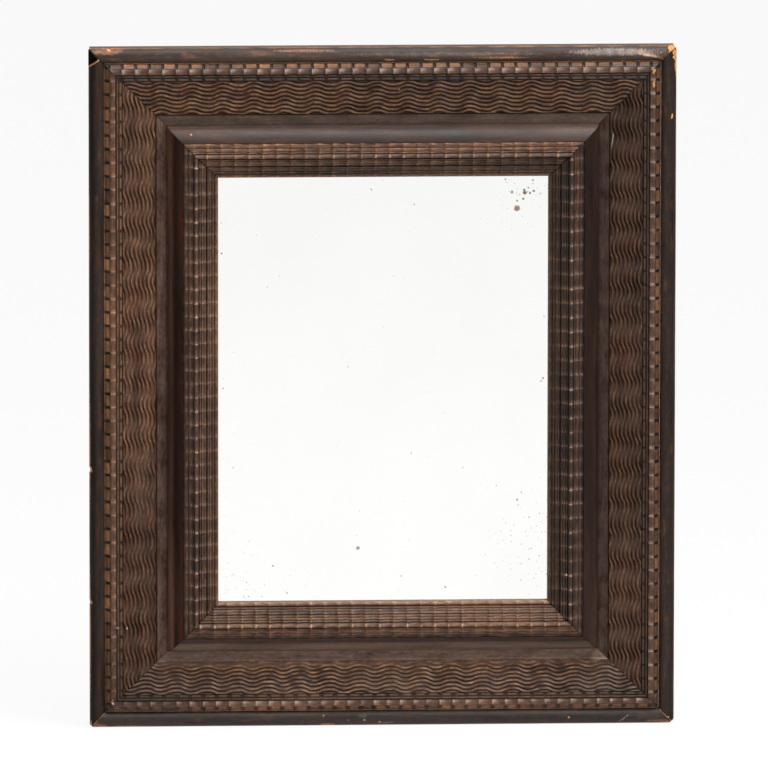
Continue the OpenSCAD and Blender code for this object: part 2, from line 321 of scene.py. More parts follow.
def sweep(kind, side, front, back, shape, at, material):
    """A closed solid from a front line and a back line, along one side and mitred at both ends"""
    name, node = (word + "_" + side for word in KINDS[kind][:2])
    along, inward, outward = AXES[side]
    half, edge = halves(side)
    loop = joined(front, back)
    if np.hypot(*(loop[0] - loop[-1])) < 1e-4:
        loop = loop[:-1]
    u0, d0 = loop[:, 0], loop[:, 1]
    is_front = (np.arange(len(loop)) < len(front))[None, :]

    # The columns are straight across the middle and slant to the mitre over the rest of the side
    reach = np.abs(at).max()
    straight = half - u0.max() - 4.0
    sign = np.sign(at)[:, None]
    slanted = np.clip((np.abs(at) - straight) / (reach - straight), 0, 1)[:, None]
    base = np.minimum(np.abs(at), straight)[:, None] * sign
    gap = at_corner(at, side, {c: OPEN.get((kind, c), TIGHT) for c in CORNERS[side]})[:, None] / 2

    def along_side(u):
        return base + sign * slanted * (half - u - gap - straight)

    u = u0[None, :]
    for _ in range(3):
        u, d, masks = shape(along_side(u), u0[None, :], d0[None, :], is_front)
    s = along_side(u)
    u, d = np.broadcast_to(u, s.shape), np.broadcast_to(d, s.shape)
    axes = np.array([along, inward, TO_ROOM], float)
    co = (np.stack([s, u, d], -1) @ axes + edge * np.array(outward)) * MM
    area = 0.5 * np.sum(u0 * np.roll(d0, -1) - np.roll(u0, -1) * d0)
    mesh = skin(name, co, area * np.linalg.det(axes) < 0)

    # Each side takes its own stretch of the wood's grain
    n = SIDES.index(side)
    store(mesh, "rail", np.stack([s * MM + 0.83 * n, u * MM + 0.3 * n, d * MM], -1))
    # Per-side tone, which paints light and shade as well as the wood's own tone
    tone_and_shade = TONE_AND_SHADE_BY_SIDE[kind][side] * (1 + wander(s, 90 + n, 330, 0.04))
    tone_and_shade = tone_and_shade * np.interp(s, *zip(*ALONG[side])) ** ALONG_SHARE[kind]
    masks["tone_and_shade"] = tone_and_shade * masks["tone_and_shade"]
    masks["grime"] = masks["grime"] + 0.75 * bump_at(half - u - np.abs(s), 0, 0.7) * (1 - masks["bare"])
    for key in MASKS:
        values = np.clip(masks.get(key, 0.0), 0, MOST_TONE if key == "tone_and_shade" else 1)
        store(mesh, key, np.broadcast_to(values, s.shape))
    mesh.materials.append(material)
    piece = bpy.data.objects.new(name, mesh)
    bpy.context.scene.collection.objects.link(piece)
    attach(piece, FRAME_BODY)
    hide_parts(node)


# Marks of age, and a few painted highlights, each patch as (s, u, half length, half width, turn in degrees, and
# how deep or how strong)

# Chips down to bare wood
CHIPS = {
    ("torus", "top"): ((295.6, 2.6, 4.6, 4.2, 20, 0.5), (7.3, 12.8, 5.5, 0.8, 0, 0.25),
                       (50.2, 12.9, 9.5, 0.7, 1, 0.25), (286.0, 14.4, 1.8, 0.9, 30, 0.3)),
    ("torus", "right"): ((-343.0, 1.6, 5.5, 2.6, 4, 0.4), (-332.0, 1.0, 11.0, 1.1, -2, 0.2),
                         (-278.6, 4.7, 3.2, 0.9, 8, 0.2), (344.0, 6.2, 1.6, 0.7, 45, 0.2)),
    ("torus", "bottom"): ((-288.0, 1.4, 8.5, 0.9, 0, 0.15), (-258.0, 1.2, 20.0, 0.5, 0, 0.1),
                          (-55.5, 1.9, 8.0, 0.7, 0, 0.15), (191.9, 7.8, 1.6, 1.1, 20, 0.25),
                          (-2.7, 4.0, 1.1, 1.0, 30, 0.2), (-60.4, 11.0, 1.0, 0.9, 0, 0.2),
                          (292.0, 1.2, 6.0, 0.8, 0, 0.15)),
    ("torus", "left"): ((60.0, 0.6, 60.0, 0.5, 0, 0.1), (250.0, 0.6, 70.0, 0.5, 0, 0.1),
                        (-170.0, 0.6, 40.0, 0.4, 0, 0.1), (347.0, 1.2, 4.0, 1.2, 0, 0.2)),
    ("bead", "right"): ((-312.0, 23.6, 3.6, 1.3, 0, 0), (-325.5, 23.4, 3.4, 1.4, 20, 0)),
    ("bead", "bottom"): ((254.5, 17.2, 2.4, 0.8, 0, 0),),
    ("bead", "left"): ((322.2, 23.6, 1.0, 0.8, 0, 0),),
    ("sight", "right"): ((191.6, 112.8, 1.5, 1.0, 0, 0),),
    ("ovolo", "top"): ((-196.0, 86.0, 1.2, 1.0, 0, 0),),
    ("waves", "top"): ((16.2, 43.0, 1.0, 0.8, 0, 0),),
}

# Pale dried polish and plaster dust. The three patches on the top torus are a painted highlight, its speckled
# sheen towards the right end
DUST_AND_HIGHLIGHT_MARKS = {
    ("torus", "top"): ((238.0, 6.0, 46.0, 3.6, 0, 0.35), (270.0, 9.2, 13.0, 1.1, 12, 0.9),
                       (60.0, 7.0, 90.0, 2.2, 0, 0.12)),
    ("torus", "bottom"): ((-35.0, 6.5, 1.2, 1.2, 0, 0.25), (-18.7, 6.4, 1.3, 1.2, 0, 0.5),
                          (-20.5, 10.5, 4.5, 2.5, 0, 0.08), (3.0, 3.4, 9.0, 0.5, 4, 0.3),
                          (248.0, 6.0, 6.5, 0.45, 38, 0.5)),
    ("bead", "left"): ((247.0, 28.6, 1.9, 0.7, 90, 1.0), (325.0, 23.4, 1.6, 0.8, 40, 0.9)),
    ("waves", "left"): ((247.2, 38.3, 0.9, 0.8, 0, 1.0), (296.5, 61.8, 1.6, 0.8, 70, 0.9),
                        (292.5, 62.5, 1.0, 0.6, 0, 0.8)),
    ("waves", "right"): ((-255.0, 65.6, 7.5, 0.5, 8, 0.7),),
}

# Places rubbed brown by handling. The patch at s 268 on the top torus is a painted highlight, a pale wedge of
# sheen
RUBS = {
    ("torus", "top"): ((-281.0, 2.6, 16.0, 3.0, 0, 0.6), (268.0, 8.0, 15.0, 2.2, 12, 0.6),
                       (-80.0, 3.0, 30.0, 1.4, 0, 0.6), (120.0, 11.0, 26.0, 1.2, 0, 0.6)),
    ("torus", "bottom"): ((-296.0, 3.0, 10.0, 2.0, 0, 0.6), (285.0, 3.0, 14.0, 1.6, 0, 0.6)),
}

# Stretches where the waves were planed shallower
CALM = {("waves", "left"): ((107.0, 58.0, 46.0, 12.0, 0, 0.55),)}

# Nicks broken out of the outline: (start, end, depth) along a side
NICKS = {"left": ((79.5, 86.0, 1.9), (217.5, 222.5, 0.9)), "top": ((-282.5, -277.5, 1.1),)}


def marks(table, kind, side, s, u, seed, soft):
    """Each patch of a table on this moulding, with its strength"""
    for n, (*spec, strength) in enumerate(table.get((kind, side), ())):
        yield mark(s, u, spec, seed + n, soft), strength


def chipped(kind, side, s, u):
    """Where chips bare the wood, and how deep they are"""
    bare = depth = 0.0
    for patch, deep in marks(CHIPS, kind, side, s, u, seed_of(kind, side) * 7, 0.3):
        bare, depth = np.maximum(bare, patch), depth + deep * patch
    return bare, depth


def chalky(kind, side, s, u):
    """Where pale dust lies, and on the top torus a painted highlight"""
    out = 0.0
    for patch, amount in marks(DUST_AND_HIGHLIGHT_MARKS, kind, side, s, u, seed_of(kind, side) * 5, 0.5):
        out = np.maximum(out, amount * patch)
    return out


def on_front(is_front, tone_and_shade, **masks):
    """The masks, kept to the front, with the tone that also paints light and shade"""
    return {"tone_and_shade": tone_and_shade, **{key: value * is_front for key, value in masks.items()}}


# The torus along the outer edge

CORNER_ROUND = {"tl": 2.5, "tr": 4.5, "bl": 4.0, "br": 6.0}
PALE_JOINT = {"bl": 0.95, "br": 0.85, "tr": 0.25, "tl": 0.3}
TORUS_RED = by_side(0.15, 0.1, 0.6, 0.08)
# How light the torus is made across it on each side, at these places from its outer edge: painted shade on the
# half turned from the lamps, painted light on the half turned to them, and on the bottom a darkening over its
# highlight
TORUS_TONE_AT = (0.3, 1.5, 4.0, 7.5, 11.0, 14.0)
TORUS_TONE_AND_SHADE = by_side((0.8, 0.55, 0.75, 1.05, 1.1, 1.3), (1.3, 1.1, 1.05, 0.85, 0.6, 1.3),
                     (1.9, 0.5, 0.5, 0.9, 1.4, 1.7), (1.9, 0.72, 0.75, 0.95, 1.35, 1.8))

# The opened joint at the top left corner: a triangle on the left side, as (s, u), and the crack that leaves it
JOINT = ((-349.4, 1.2), (-340.2, 9.2), (-331.9, -0.6))
CRACK_END = (-341.2, 12.8)


def line_gap(s, u, a, b):
    """Signed distance of (s, u) from the line through a and b"""
    ds, du = b[0] - a[0], b[1] - a[1]
    return ((s - a[0]) * du - (u - a[1]) * ds) / math.hypot(ds, du)


def open_joint(s, u):
    """1 in the opened joint"""
    a, b, c = JOINT
    gaps = [line_gap(s, u, p, q) for p, q in ((a, b), (b, c), (c, a))]
    if line_gap(*np.mean(JOINT, axis=0), a, b) < 0:
        gaps = [-x for x in gaps]
    inside = np.minimum(np.minimum(gaps[0], gaps[1]), gaps[2] + 3.0)
    return smooth(inside, -0.15, 0.45)


def joint_edges(s, u):
    """The pale broken edges of the opened joint"""
    a, b, c = JOINT
    crack = bump_at(line_gap(s, u, c, CRACK_END), 0, 0.55) * (s > -342.0) * (u < 13.0)
    edge = 0.55 * bump_at(line_gap(s, u, a, b), 0, 0.45) * (u < 10)
    return np.clip(crack + edge, 0, 1)


def make_torus(side, wood):
    r = (BEAD_U0 - TORUS_U0) / 2
    cd = crest("outer_torus_top") - r
    foot = math.asin((cd - CARCASE_D) / r)
    front = joined(arc(TORUS_U0 + r, cd, r, 180 + math.degrees(foot), 0, 0.55),
                   path([(BEAD_U0, cd), (BEAD_U0, CARCASE_D)], 2.5))
    back = path([(BEAD_U0, CARCASE_D), (TORUS_U0 + r - r * math.cos(foot), CARCASE_D)], 4.0)
    seed, half = seed_of("torus", side), halves(side)[0]

    def shape(s, u0, d0, is_front):
        dent = (wander(s, seed, 260, 0.10) + 0.10 * grit(s, u0 + d0, seed, 34)) * is_front * (d0 > cd)
        rounding = at_corner(s, side, CORNER_ROUND)
        corner = np.clip(rounding - (half - np.abs(s)), 0, rounding)
        corner = rounding - np.sqrt(np.maximum(rounding ** 2 - corner ** 2, 0))
        corner = corner * np.clip(1 - u0 / (rounding + 1.5), 0, 1)
        nick = sum(deep * np.clip((s - a) / (b - a), 0, 1) * (s < b) for a, b, deep in NICKS.get(side, ()))
        u = u0 + corner + nick * np.clip(1 - u0 / 4, 0, 1)
        chip, depth = chipped("torus", side, s, u)
        d = d0 + dent - depth * is_front

        shoulder = (1 - smooth(u0, 0.1, 1.5)) * is_front
        patchy = np.clip(0.5 + 0.5 * grit(s, 0.0, seed + 3, 46), 0, 1)
        worn = shoulder * (0.15 + 0.45 * patchy) + 0.08 * smooth(d0, cd + r * 0.6, cd + r)
        worn = worn + 0.12 * smooth(grit(s * 0.5, u0 * 2.2, seed + 5, 30), 0.6, 1.3) * is_front
        for patch, strength in marks(RUBS, "torus", side, s, u, seed * 9, 0.8):
            worn = worn + strength * patch * is_front
        bare = at_corner(s, side, PALE_JOINT) * bump_at(half - u - np.abs(s), 0, 0.55)
        bare = bare * np.clip(0.75 + 0.5 * grit(s, u, seed, 5), 0, 1)
        bare = np.maximum(bare, np.clip(nick * 1.5, 0, 1) * (u0 < 2.5) * is_front)
        bare = np.maximum(bare, chip * is_front)
        # Painted shade in the crease against the bead and on the torus's lower half, with some dirt
        grime = smooth(u0, BEAD_U0 - 0.7, BEAD_U0 - 0.1) * 0.5 + smooth(cd - d0, 0.5, 4) * 0.4
        red = TORUS_RED[side] * smooth(grit(s * 0.12, u0 * 1.5, seed + 8, 9), 0.0, 0.9)
        hole = 0.0
        if side == "left":
            # The opened joint is lowered and painted fully dark, a painted shadow in the gap
            hole = open_joint(s, u)
            d = np.where(is_front, np.minimum(d, d + (CARCASE_D + 1.2 - d) * hole), d)
            bare = np.maximum(bare, joint_edges(s, u) * is_front * (1 - hole))
        # The tone across the torus paints its light and shade
        return u, d, {"worn": worn, "grime": np.maximum(grime * (1 - bare), hole), "bare": bare,
                      "red": red * (1 - smooth(u0, 10.5, 13.5)), "chalk": chalky("torus", side, s, u) * is_front,
                      "tone_and_shade": np.interp(u0, TORUS_TONE_AT, TORUS_TONE_AND_SHADE[side])}

    sweep("torus", side, front, back, shape, columns(side, TORUS_U0, 11.0, 0.0, 12), wood)


# The ripple bead: a quirk, a block with notches, a scalloped crown and two thin fillets

# Pitch of the cuts and the place of one cusp
BEAD_CUT = by_side((13.85, -3.0), (13.49, 5.1), (14.01, -9.5), (14.09, -5.9))
NOTCH_WIDTH = by_side((0.73, 0.90), (0.60, 0.85), (0.73, 0.90), (0.73, 0.90))
NOTCH_DARK = by_side(0.85, 0.6, 0.8, 0.85)
BLOCK_WORN = by_side(0.5, 0.4, 0.75, 0.6)
# How light the bead is made across it: at its foot, painted light over the shade against the torus; on the block,
# the split and the fillets, its tone with painted light and shade for each side
BEAD_START_LIGHT = by_side(3.4, 1.9, 1.8, 1.3)
BEAD_BLOCK_TONE = by_side(0.95, 1.05, 1.3, 1.05)
BEAD_SPLIT_TONE = by_side(0.8, 1.0, 0.55, 0.85)
FILLET_TONE = by_side(0.55, 0.74, 0.97, 0.64)
# How dark the bead's grooves are made on each side: dirt with painted shade
GROOVE_DIRT_AND_SHADE = by_side(1.0, 0.75, 0.5, 1.0)
# Where across the crown its painted highlight lies on each side, and how strong it is
CROWN_AT = by_side(23.4, 25.8, 25.2, 22.6)
CROWN_HIGHLIGHT = by_side(0.32, 0.6, 0.1, 0.1)
# Painted highlight on the lip above the notches, all along it and more at each notch
RIM_HIGHLIGHT = by_side((0.1, 0.7), (0.15, 0.1), (0.0, 0.0), (0.3, 0.2))


def make_bead(side, wood):
    top = crest("ripple_bead_top")
    r, groove_r, crown_width, recess, rise = 9.0, 0.7, 1.3, 1.7, 1.7
    cu, cd = BEAD_U0 + 1.2 + r, top - r
    fillet_d = top - 1.2
    u1 = cu + crown_width
    block0, split, end = BEAD_U0 + 1.3, BEAD_U0 + 5.6, BAND_U0
    start = math.degrees(math.acos((block0 - cu) / r))
    thin = (u1 + 2 * groove_r, u1 + 2 * groove_r + 1.5)
    broad = (thin[1] + 2 * groove_r, end - 1.0)
    thin_d, broad_d = fillet_d + 0.3, fillet_d + 0.25
    front = joined(
        path([(BEAD_U0, cd - 1.5), (BEAD_U0 + 0.15, cd + 1.6), (BEAD_U0 + 0.9, cd + 1.9),
              (BEAD_U0 + 1.1, cd + 1.2)], 0.4),
        arc(cu, cd, r, start, 90, 0.42),
        path([(cu, top), (u1, top), (u1, fillet_d)], 0.4),
        arc(u1 + groove_r, fillet_d, groove_r, 180, 360, 0.3),
        path([(thin[0], fillet_d), (thin[0] + 0.3, thin_d), (thin[1] - 0.3, thin_d), (thin[1], fillet_d)], 0.4),
        arc(thin[1] + groove_r, fillet_d, groove_r, 180, 360, 0.3),
        path([(broad[0], fillet_d), (broad[0] + 0.4, broad_d), (broad[1] - 0.4, broad_d),
              (broad[1], fillet_d), (end - 0.5, fillet_d - 1.1), (end, fillet_d)], 0.42),
    )
    back = path([(end, fillet_d), (end, CARCASE_D), (BEAD_U0, CARCASE_D), (BEAD_U0, cd - 1.5)], 4.0)
    pitch, cusp = BEAD_CUT[side]
    notch_from, notch_to = NOTCH_WIDTH[side]
    seed, half = seed_of("bead", side), halves(side)[0]
    # Painted light at the foot of the bead and lightness across it for each side
    tone_at = (block0 + 0.4, block0 + 2.4, split - 0.2, split + 2.2, u1 - 0.2, u1 + 0.4)
    tones = (BEAD_START_LIGHT[side], BEAD_BLOCK_TONE[side], BEAD_SPLIT_TONE[side], 1.0, 1.0, FILLET_TONE[side])

    def shape(s, u0, d0, is_front):
        x, which, cell = cuts(s, pitch, cusp)
        deep = uneven(which, seed, 0.16)
        notch = smooth(x, notch_from, notch_to) * deep
        high = scallop(s, pitch, cusp) * deep
        block_end = 1 - smooth(u0, split - 1.2, split + 0.4)
        block = smooth(u0, block0 - 0.15, block0 + 0.05) * block_end * is_front
        crown = smooth(u0, split - 0.6, split + 0.8) * (1 - smooth(u0, u1 + 0.02, u1 + 0.25)) * is_front
        on_thin = (u0 > thin[0]) * (u0 < thin[1]) * is_front
        on_broad = smooth(u0, broad[0], broad[0] + 0.3) * (1 - smooth(u0, broad[1] - 0.3, broad[1])) * is_front
        u = u0 + recess * notch * block
        seam = 0.4 * bump_at(u0, split, 0.35) * is_front
        d = d0 + rise * (high - 0.5) * crown - 0.15 * x ** 2 * on_thin - 0.75 * notch * on_broad - seam
        d = d + 0.5 * (high - 0.5) * block + wander(s, seed + 5, 300, 0.05) * is_front

        # Two of the sides are quieter towards one end
        quiet = {"left": 1 - smooth(s, 200, 300), "bottom": smooth(s, -260, -150)}.get(side, 1.0)
        lip = (u0 < block0 - 0.25) * (d0 > cd + 0.8)
        fresh = np.clip(uneven(cell, seed + 9, 0.5) - 0.1, 0.1, 1.4)
        # Painted highlight: each cut is made paler just after its cusp, fading along the cut as if lit from one
        # side
        highlight_after_cusp = np.clip(1 - through(s, pitch, cusp) / 0.55, 0, 1)
        worn = block * BLOCK_WORN[side] * fresh * (1 - notch)
        if side in LEVEL:
            worn = worn + crown * (0.14 + 0.25 * highlight_after_cusp * fresh + 0.25 * smooth(x, 0.80, 0.97) * fresh)
        else:
            worn = worn + crown * (0.26 + 0.34 * smooth(x, 0.72, 0.97) * fresh)
        worn = worn + 0.75 * lip + on_thin * 0.34 + on_broad * (0.28 - 0.2 * notch)
        worn = worn * (0.5 + 0.5 * quiet) * (0.35 + 0.65 * smooth(half - u0 - np.abs(s), 0, 9))
        cut = smooth(u0, BEAD_U0 + 0.1, BEAD_U0 + 0.4) * block_end * is_front
        stain = NOTCH_DARK[side] * (0.4 + 0.6 * quiet) * cut * smooth(x, notch_from - 0.05, notch_to - 0.04)
        # The same painted highlight along the crown, in the pale mask
        dash = highlight_after_cusp ** 1.5 * (0.6 + 0.4 * fresh) * bump_at(u0, CROWN_AT[side], 1.7)
        chalk = crown * CROWN_HIGHLIGHT[side] * dash * (0.35 + 0.65 * quiet)
        # Painted highlight on the rim above each notch
        rim, rim_cut = RIM_HIGHLIGHT[side]
        chalk = chalk + lip * (rim + rim_cut * smooth(x, 0.66, 0.84))
        groove = smooth(fillet_d - d0, -0.02, 0.5) * (u0 > u1 - 0.1)
        grime = GROOVE_DIRT_AND_SHADE[side] * groove + 0.8 * seam + 0.25 * (d0 < cd + 0.9) * (u0 < block0)
        grime = grime + 0.85 * smooth(x, notch_from - 0.1, notch_to - 0.1) * (on_broad + 0.5 * on_thin)
        chalk = np.maximum(chalk, chalky("bead", side, s, u))
        return u, d, on_front(is_front, np.interp(u0, tone_at, tones), worn=worn, grime=grime, stain=stain,
                              bare=chipped("bead", side, s, u)[0], red=0.2 * crown, chalk=chalk)

    sweep("bead", side, front, back, shape, columns(side, BEAD_U0, pitch, cusp, 16), wood)


# The wave band: seven ridges that swing from side to side and run out at the mitres

# Pitch of the waves and the place of one that swings inwards
WAVE_CUT = by_side((31.48, -5.8), (31.43, -7.6), (31.62, -16.2), (31.71, -2.0))
WAVE_HEIGHT = by_side(1.4, 1.5, 1.6, 1.6)
WAVE_SKEW = by_side(0.0, 0.0, 0.5, -0.5)
# How strongly the ridges are made pale on their crests and dark in their hollows on each side
WAVE_PAINT = by_side(1.75, 1.7, 0.7, 0.7)
WAVE_RED = by_side(0.25, 0.1, 0.25, 0.25)
# How much lighter the ridges are made towards the shelf: painted light, strongest on the bottom side
WAVE_END_LIGHT = by_side(0.12, 0.4, 0.12, 0.12)
RIDGE_PITCH, RIDGE_FIRST, RIDGE_SWING = 4.27, 2.3, 1.85


def make_band(side, wood):
    top = crest("wave_band_top")
    u_line = np.linspace(BAND_U0, SHELF_U0, int((SHELF_U0 - BAND_U0) / 0.36))
    front = np.column_stack([u_line, np.full_like(u_line, top)])
    back = path([(SHELF_U0, top), (SHELF_U0, CARCASE_D), (BAND_U0, CARCASE_D), (BAND_U0, top)], 6.0)
    pitch, out = WAVE_CUT[side]
    seed = seed_of("waves", side)

    def shape(s, u0, d0, is_front):
        turn = 2 * math.pi * (s - out) / pitch
        wave = np.cos(turn) + 0.10 * np.cos(2 * turn + 0.6) - 0.06 * np.cos(3 * turn)
        v = u0 - BAND_U0 - RIDGE_FIRST + RIDGE_SWING * wave + wander(s, seed, 420, 0.16)
        v = v + 0.09 * grit(s, u0, seed + 2, 24)
        swell = np.abs(np.cos(math.pi * v / RIDGE_PITCH))
        slant = 1 + WAVE_SKEW[side] * np.sin(turn)
        for patch, share in marks(CALM, "waves", side, s, u0, seed + 40, 0.6):
            slant = slant * (1 - share * patch)
        depth = WAVE_HEIGHT[side] * slant
        depth = depth * (1 + wander(s, seed + 3, 210, 0.09) + 0.14 * grit(s, u0, seed + 4, 38))
        if side == "bottom":
            calm = 0.75 * smooth(u0, SHELF_U0 - 6.5, SHELF_U0 - 2.0)
            depth, swell = depth * (1 - calm), swell + (0.8 - swell) * calm
        inside = smooth(u0, BAND_U0 - 0.01, BAND_U0 + 0.05) * (1 - smooth(u0, SHELF_U0 - 0.05, SHELF_U0 + 0.01))
        d = d0 + depth * (swell ** 1.15 - 0.72) * inside * is_front

        wear = 0.55 + 0.38 * grit(s, u0, seed + 6, 20) + 0.25 * grit(s, u0, seed + 7, 7)
        worn = smooth(swell, 0.55, 1.0) * np.clip(wear, 0.1, 1.2) * 0.5 * WAVE_PAINT[side]
        # The hollows between the ridges are darkened: painted shade, with some dirt
        grime = (1 - smooth(swell, 0.04, 0.36)) * 0.75 * WAVE_PAINT[side] * slant
        red = WAVE_RED[side] * smooth(grit(s * 0.4, u0, seed + 8, 30), 0.2, 1.0)
        chalk = chalky("waves", side, s, u0)
        # On the bottom side the crests of the outer ridges get a faint painted highlight
        if side == "bottom":
            crest_highlight = smooth(swell, 0.7, 1.0) * (1 - smooth(u0, BAND_U0 + 14, SHELF_U0 - 8))
            chalk = np.maximum(chalk, 0.06 * crest_highlight)
        # Painted light on the ridges near the shelf
        tone_and_shade = 1 + WAVE_END_LIGHT[side] * smooth(u0, SHELF_U0 - 18, SHELF_U0 - 2)
        return u0, d, on_front(is_front, tone_and_shade, worn=worn, grime=grime, red=red, chalk=chalk,
                               bare=chipped("waves", side, s, u0)[0])

    sweep("waves", side, front, back, shape, columns(side, BAND_U0, pitch, out, 29), wood)


# The flat shelf and the ovolo that climbs from it

SHELF_RISE, SHELF_QUIRK = 11.3, by_side(-0.7, 0.35, -0.7, -0.7)
OVOLO_R = 15.0
# How light the shelf is made on each side: its tone with painted light and shade
SHELF_TONE = by_side(0.62, 1.22, 1.15, 0.69)
# How dark the shelf is made along its outer step and how far in, and at the foot of the riser: dirt with a
# painted shadow line and painted shade in the corner
SHELF_EDGE_DIRT_AND_SHADE = by_side(0.5, 0.05, 0.95, 0.6)
SHELF_EDGE_DARK_REACH = by_side(1.5, 1.5, 2.8, 1.5)
SHELF_EDGE_WORN = by_side(0.0, 0.4, 0.0, 0.0)
RISER_DIRT_AND_SHADE = by_side(0.85, 0.0, 0.7, 0.7)

# Tone low and high on the curve, between which heights it changes, and how much lighter its two ends are. They
# paint light and shade on the curve: dark where it turns from the lamps, as on the left side, and a painted
# highlight low on the top side's curve
OVOLO_LOW = by_side(1.5, 1.5, 1.2, 0.9)
OVOLO_HIGH = by_side(0.85, 0.36, 0.2, 0.62)
OVOLO_CLIMB = by_side((2.5, 7.5), (8.5, 11.5), (2.5, 7.5), (2.5, 7.5))
OVOLO_ENDS = by_side((0.0, 0.0), (0.0, 0.0), (0.6, 0.8), (0.0, 0.4))
OVOLO_STAIN = by_side(0.3, 0.0, 0.0, 0.1)
OVOLO_RED = by_side(0.45, 0.7, 1.15, 0.25)
SHELF_RED = by_side(0.2, 0.2, 0.0, 0.2)


def make_ovolo(side, wood):
    r = OVOLO_R
    riser_u, shelf_d = SIGHT_U0 - r, CARCASE_D + SHELF_RISE
    front = joined(
        path([(SHELF_U0, shelf_d + 0.4), (SHELF_U0 + 0.5, shelf_d + SHELF_QUIRK[side]), (SHELF_U0 + 1.1, shelf_d),
              (riser_u - 0.5, shelf_d + 0.1), (riser_u, shelf_d + 0.5), (riser_u, OVOLO_D - r)], 0.6),
        arc(SIGHT_U0, OVOLO_D - r, r, 180, 90, 0.55),
    )
    back = path([(SIGHT_U0, OVOLO_D), (SIGHT_U0, CARCASE_D), (SHELF_U0, CARCASE_D),
                 (SHELF_U0, shelf_d + 0.4)], 6.0)
    seed = seed_of("ovolo", side)

    def shape(s, u0, d0, is_front):
        d = d0 + (wander(s, seed, 350, 0.07) + 0.05 * grit(s, u0 + d0, seed, 40)) * is_front
        curve = smooth(u0, riser_u - 0.2, riser_u + 0.6)
        worn = (1 - curve) * (0.36 + 0.12 * grit(s, u0 * 2, seed + 1, 40))
        worn = worn + smooth(u0, SIGHT_U0 - 2.0, SIGHT_U0 - 0.4) * 0.12
        worn = worn + SHELF_EDGE_WORN[side] * (1 - smooth(u0, SHELF_U0 + 0.8, SHELF_U0 + 3.5))
        # Painted shade in the corner at the foot of the riser and a painted shadow line along the shelf's outer
        # step, with dirt
        corner = smooth(u0, riser_u - 3.0, riser_u - 0.1) * (1 - smooth(d0, shelf_d + 0.5, shelf_d + 6))
        edge = 1 - smooth(u0, SHELF_U0 + 0.2, SHELF_U0 + SHELF_EDGE_DARK_REACH[side])
        grime = corner * RISER_DIRT_AND_SHADE[side] + edge * SHELF_EDGE_DIRT_AND_SHADE[side]
        red = smooth(u0, SIGHT_U0 - 7, SIGHT_U0 - 2) * (0.55 + 0.45 * grit(s * 0.3, u0 * 2, seed + 4, 22))
        red = (red + SHELF_RED[side] * (1 - curve)) * OVOLO_RED[side]
        stain = curve * OVOLO_STAIN[side] * (1 + 0.5 * grit(s * 0.3, u0, seed + 6, 25)) * (1 - red * 0.6)
        # Painted light and shade up the curve
        climb = smooth(u0 - riser_u, *OVOLO_CLIMB[side])
        curved = OVOLO_LOW[side] + (OVOLO_HIGH[side] - OVOLO_LOW[side]) * climb
        first, last = OVOLO_ENDS[side]
        curved = curved * (1 + first * smooth(-s, 100, 220) + last * smooth(s, 100, 220))
        tone_and_shade = SHELF_TONE[side] + curve * (curved - SHELF_TONE[side])
        return u0, d, on_front(is_front, tone_and_shade, worn=worn, grime=grime, stain=stain, red=red,
                               bare=chipped("ovolo", side, s, u0)[0])

    sweep("ovolo", side, front, back, shape, columns(side, SHELF_U0, 11.0, 0.0, 11), wood)


# The sight moulding, rippled all over, that steps down to the glass

SIGHT_CUT = by_side((14.30, -8.7), (14.10, -3.9), (13.94, -8.0), (14.82, -15.2))
SIGHT_CROWN, SIGHT_CROWN_R, SIGHT_RISE = 13.5, 2.3, 2.5
# Per side: wear on the crown, lightness of the outer part, painted shade at the lip next to the ovolo and how far
# it reaches, painted shade in the crown between its cusps, how pale the crown is made, and a painted highlight on
# its cusps
SIGHT_BASE_WORN = by_side(0.14, 0.26, 0.14, 0.14)
SIGHT_OUTER = by_side(0.9, 0.72, 0.55, 0.95)
SIGHT_LIP = by_side(0.9, 0.35, 0.4, 0.15)
SIGHT_LIP_REACH = by_side((1.6, 3.0), (3.0, 5.0), (1.6, 3.0), (2.2, 3.8))
SIGHT_CROWN_DARK = by_side(0.2, 0.1, 0.25, 0.6)
SIGHT_CROWN_PALE = by_side(0.08, 0.1, 0.05, 0.04)
SIGHT_GLINT = by_side(0.2, 0.42, 0.2, 0.3)

# Grooves from its outer edge inwards: (centre, half width, depth)
SIGHT_GROOVES = ((0.35, 0.45, 0.5), (5.2, 0.55, 0.55), (9.2, 0.4, 0.35), (11.2, 0.6, 0.85), (16.3, 0.65, 0.95),
                 (18.7, 0.45, 0.5), (21.4, 0.35, 0.25), (24.3, 1.05, 1.5), (26.9, 0.35, 0.3), (29.8, 0.6, 0.7),
                 (32.5, 0.6, 0.75))


def sight_grooves(side):
    """On the bottom length the innermost groove was cut wide and the deep middle one shallow"""
    if side != "bottom":
        return SIGHT_GROOVES
    return SIGHT_GROOVES[:7] + ((24.3, 0.7, 0.9),) + SIGHT_GROOVES[8:10] + ((32.1, 1.3, 1.2),)


def sight_lines(x, side):
    """Height of the sight moulding's front before it is rippled, and how deep in a groove it is"""
    width, crown_d = SIGHT_U1 - SIGHT_U0, CROWN_D - SIGHT_CROWN_R
    base = np.interp(x, [0, SIGHT_CROWN, 24.3, width], [OVOLO_D, crown_d + 0.2, OVOLO_D - 1.7, OVOLO_D - 8.4])
    grooves = sight_grooves(side)
    ends = [0.0] + [g[0] for g in grooves] + [width]
    land = 0 * x
    for a, b in zip(ends[:-1], ends[1:]):
        mid, reach = (a + b) / 2, (b - a) / 2
        swell = np.where((x >= a) & (x <= b), 1 - ((x - mid) / max(reach, 0.2)) ** 2, 0)
        land = np.maximum(land, swell * min(reach, 1.6) * 0.28)
    q = SIGHT_CROWN_R ** 2 - (x - SIGHT_CROWN) ** 2
    h = np.maximum(base + land, np.where(q > 0, crown_d + np.sqrt(np.maximum(q, 0)), -1e3))
    sunk = 0 * x
    for centre, wide, deep in grooves:
        v = np.clip(1 - np.abs(x - centre) / wide, 0, 1)
        h = h - deep * v
        sunk = np.maximum(sunk, v * min(1.0, 0.45 + deep * 0.6))
    return h, sunk


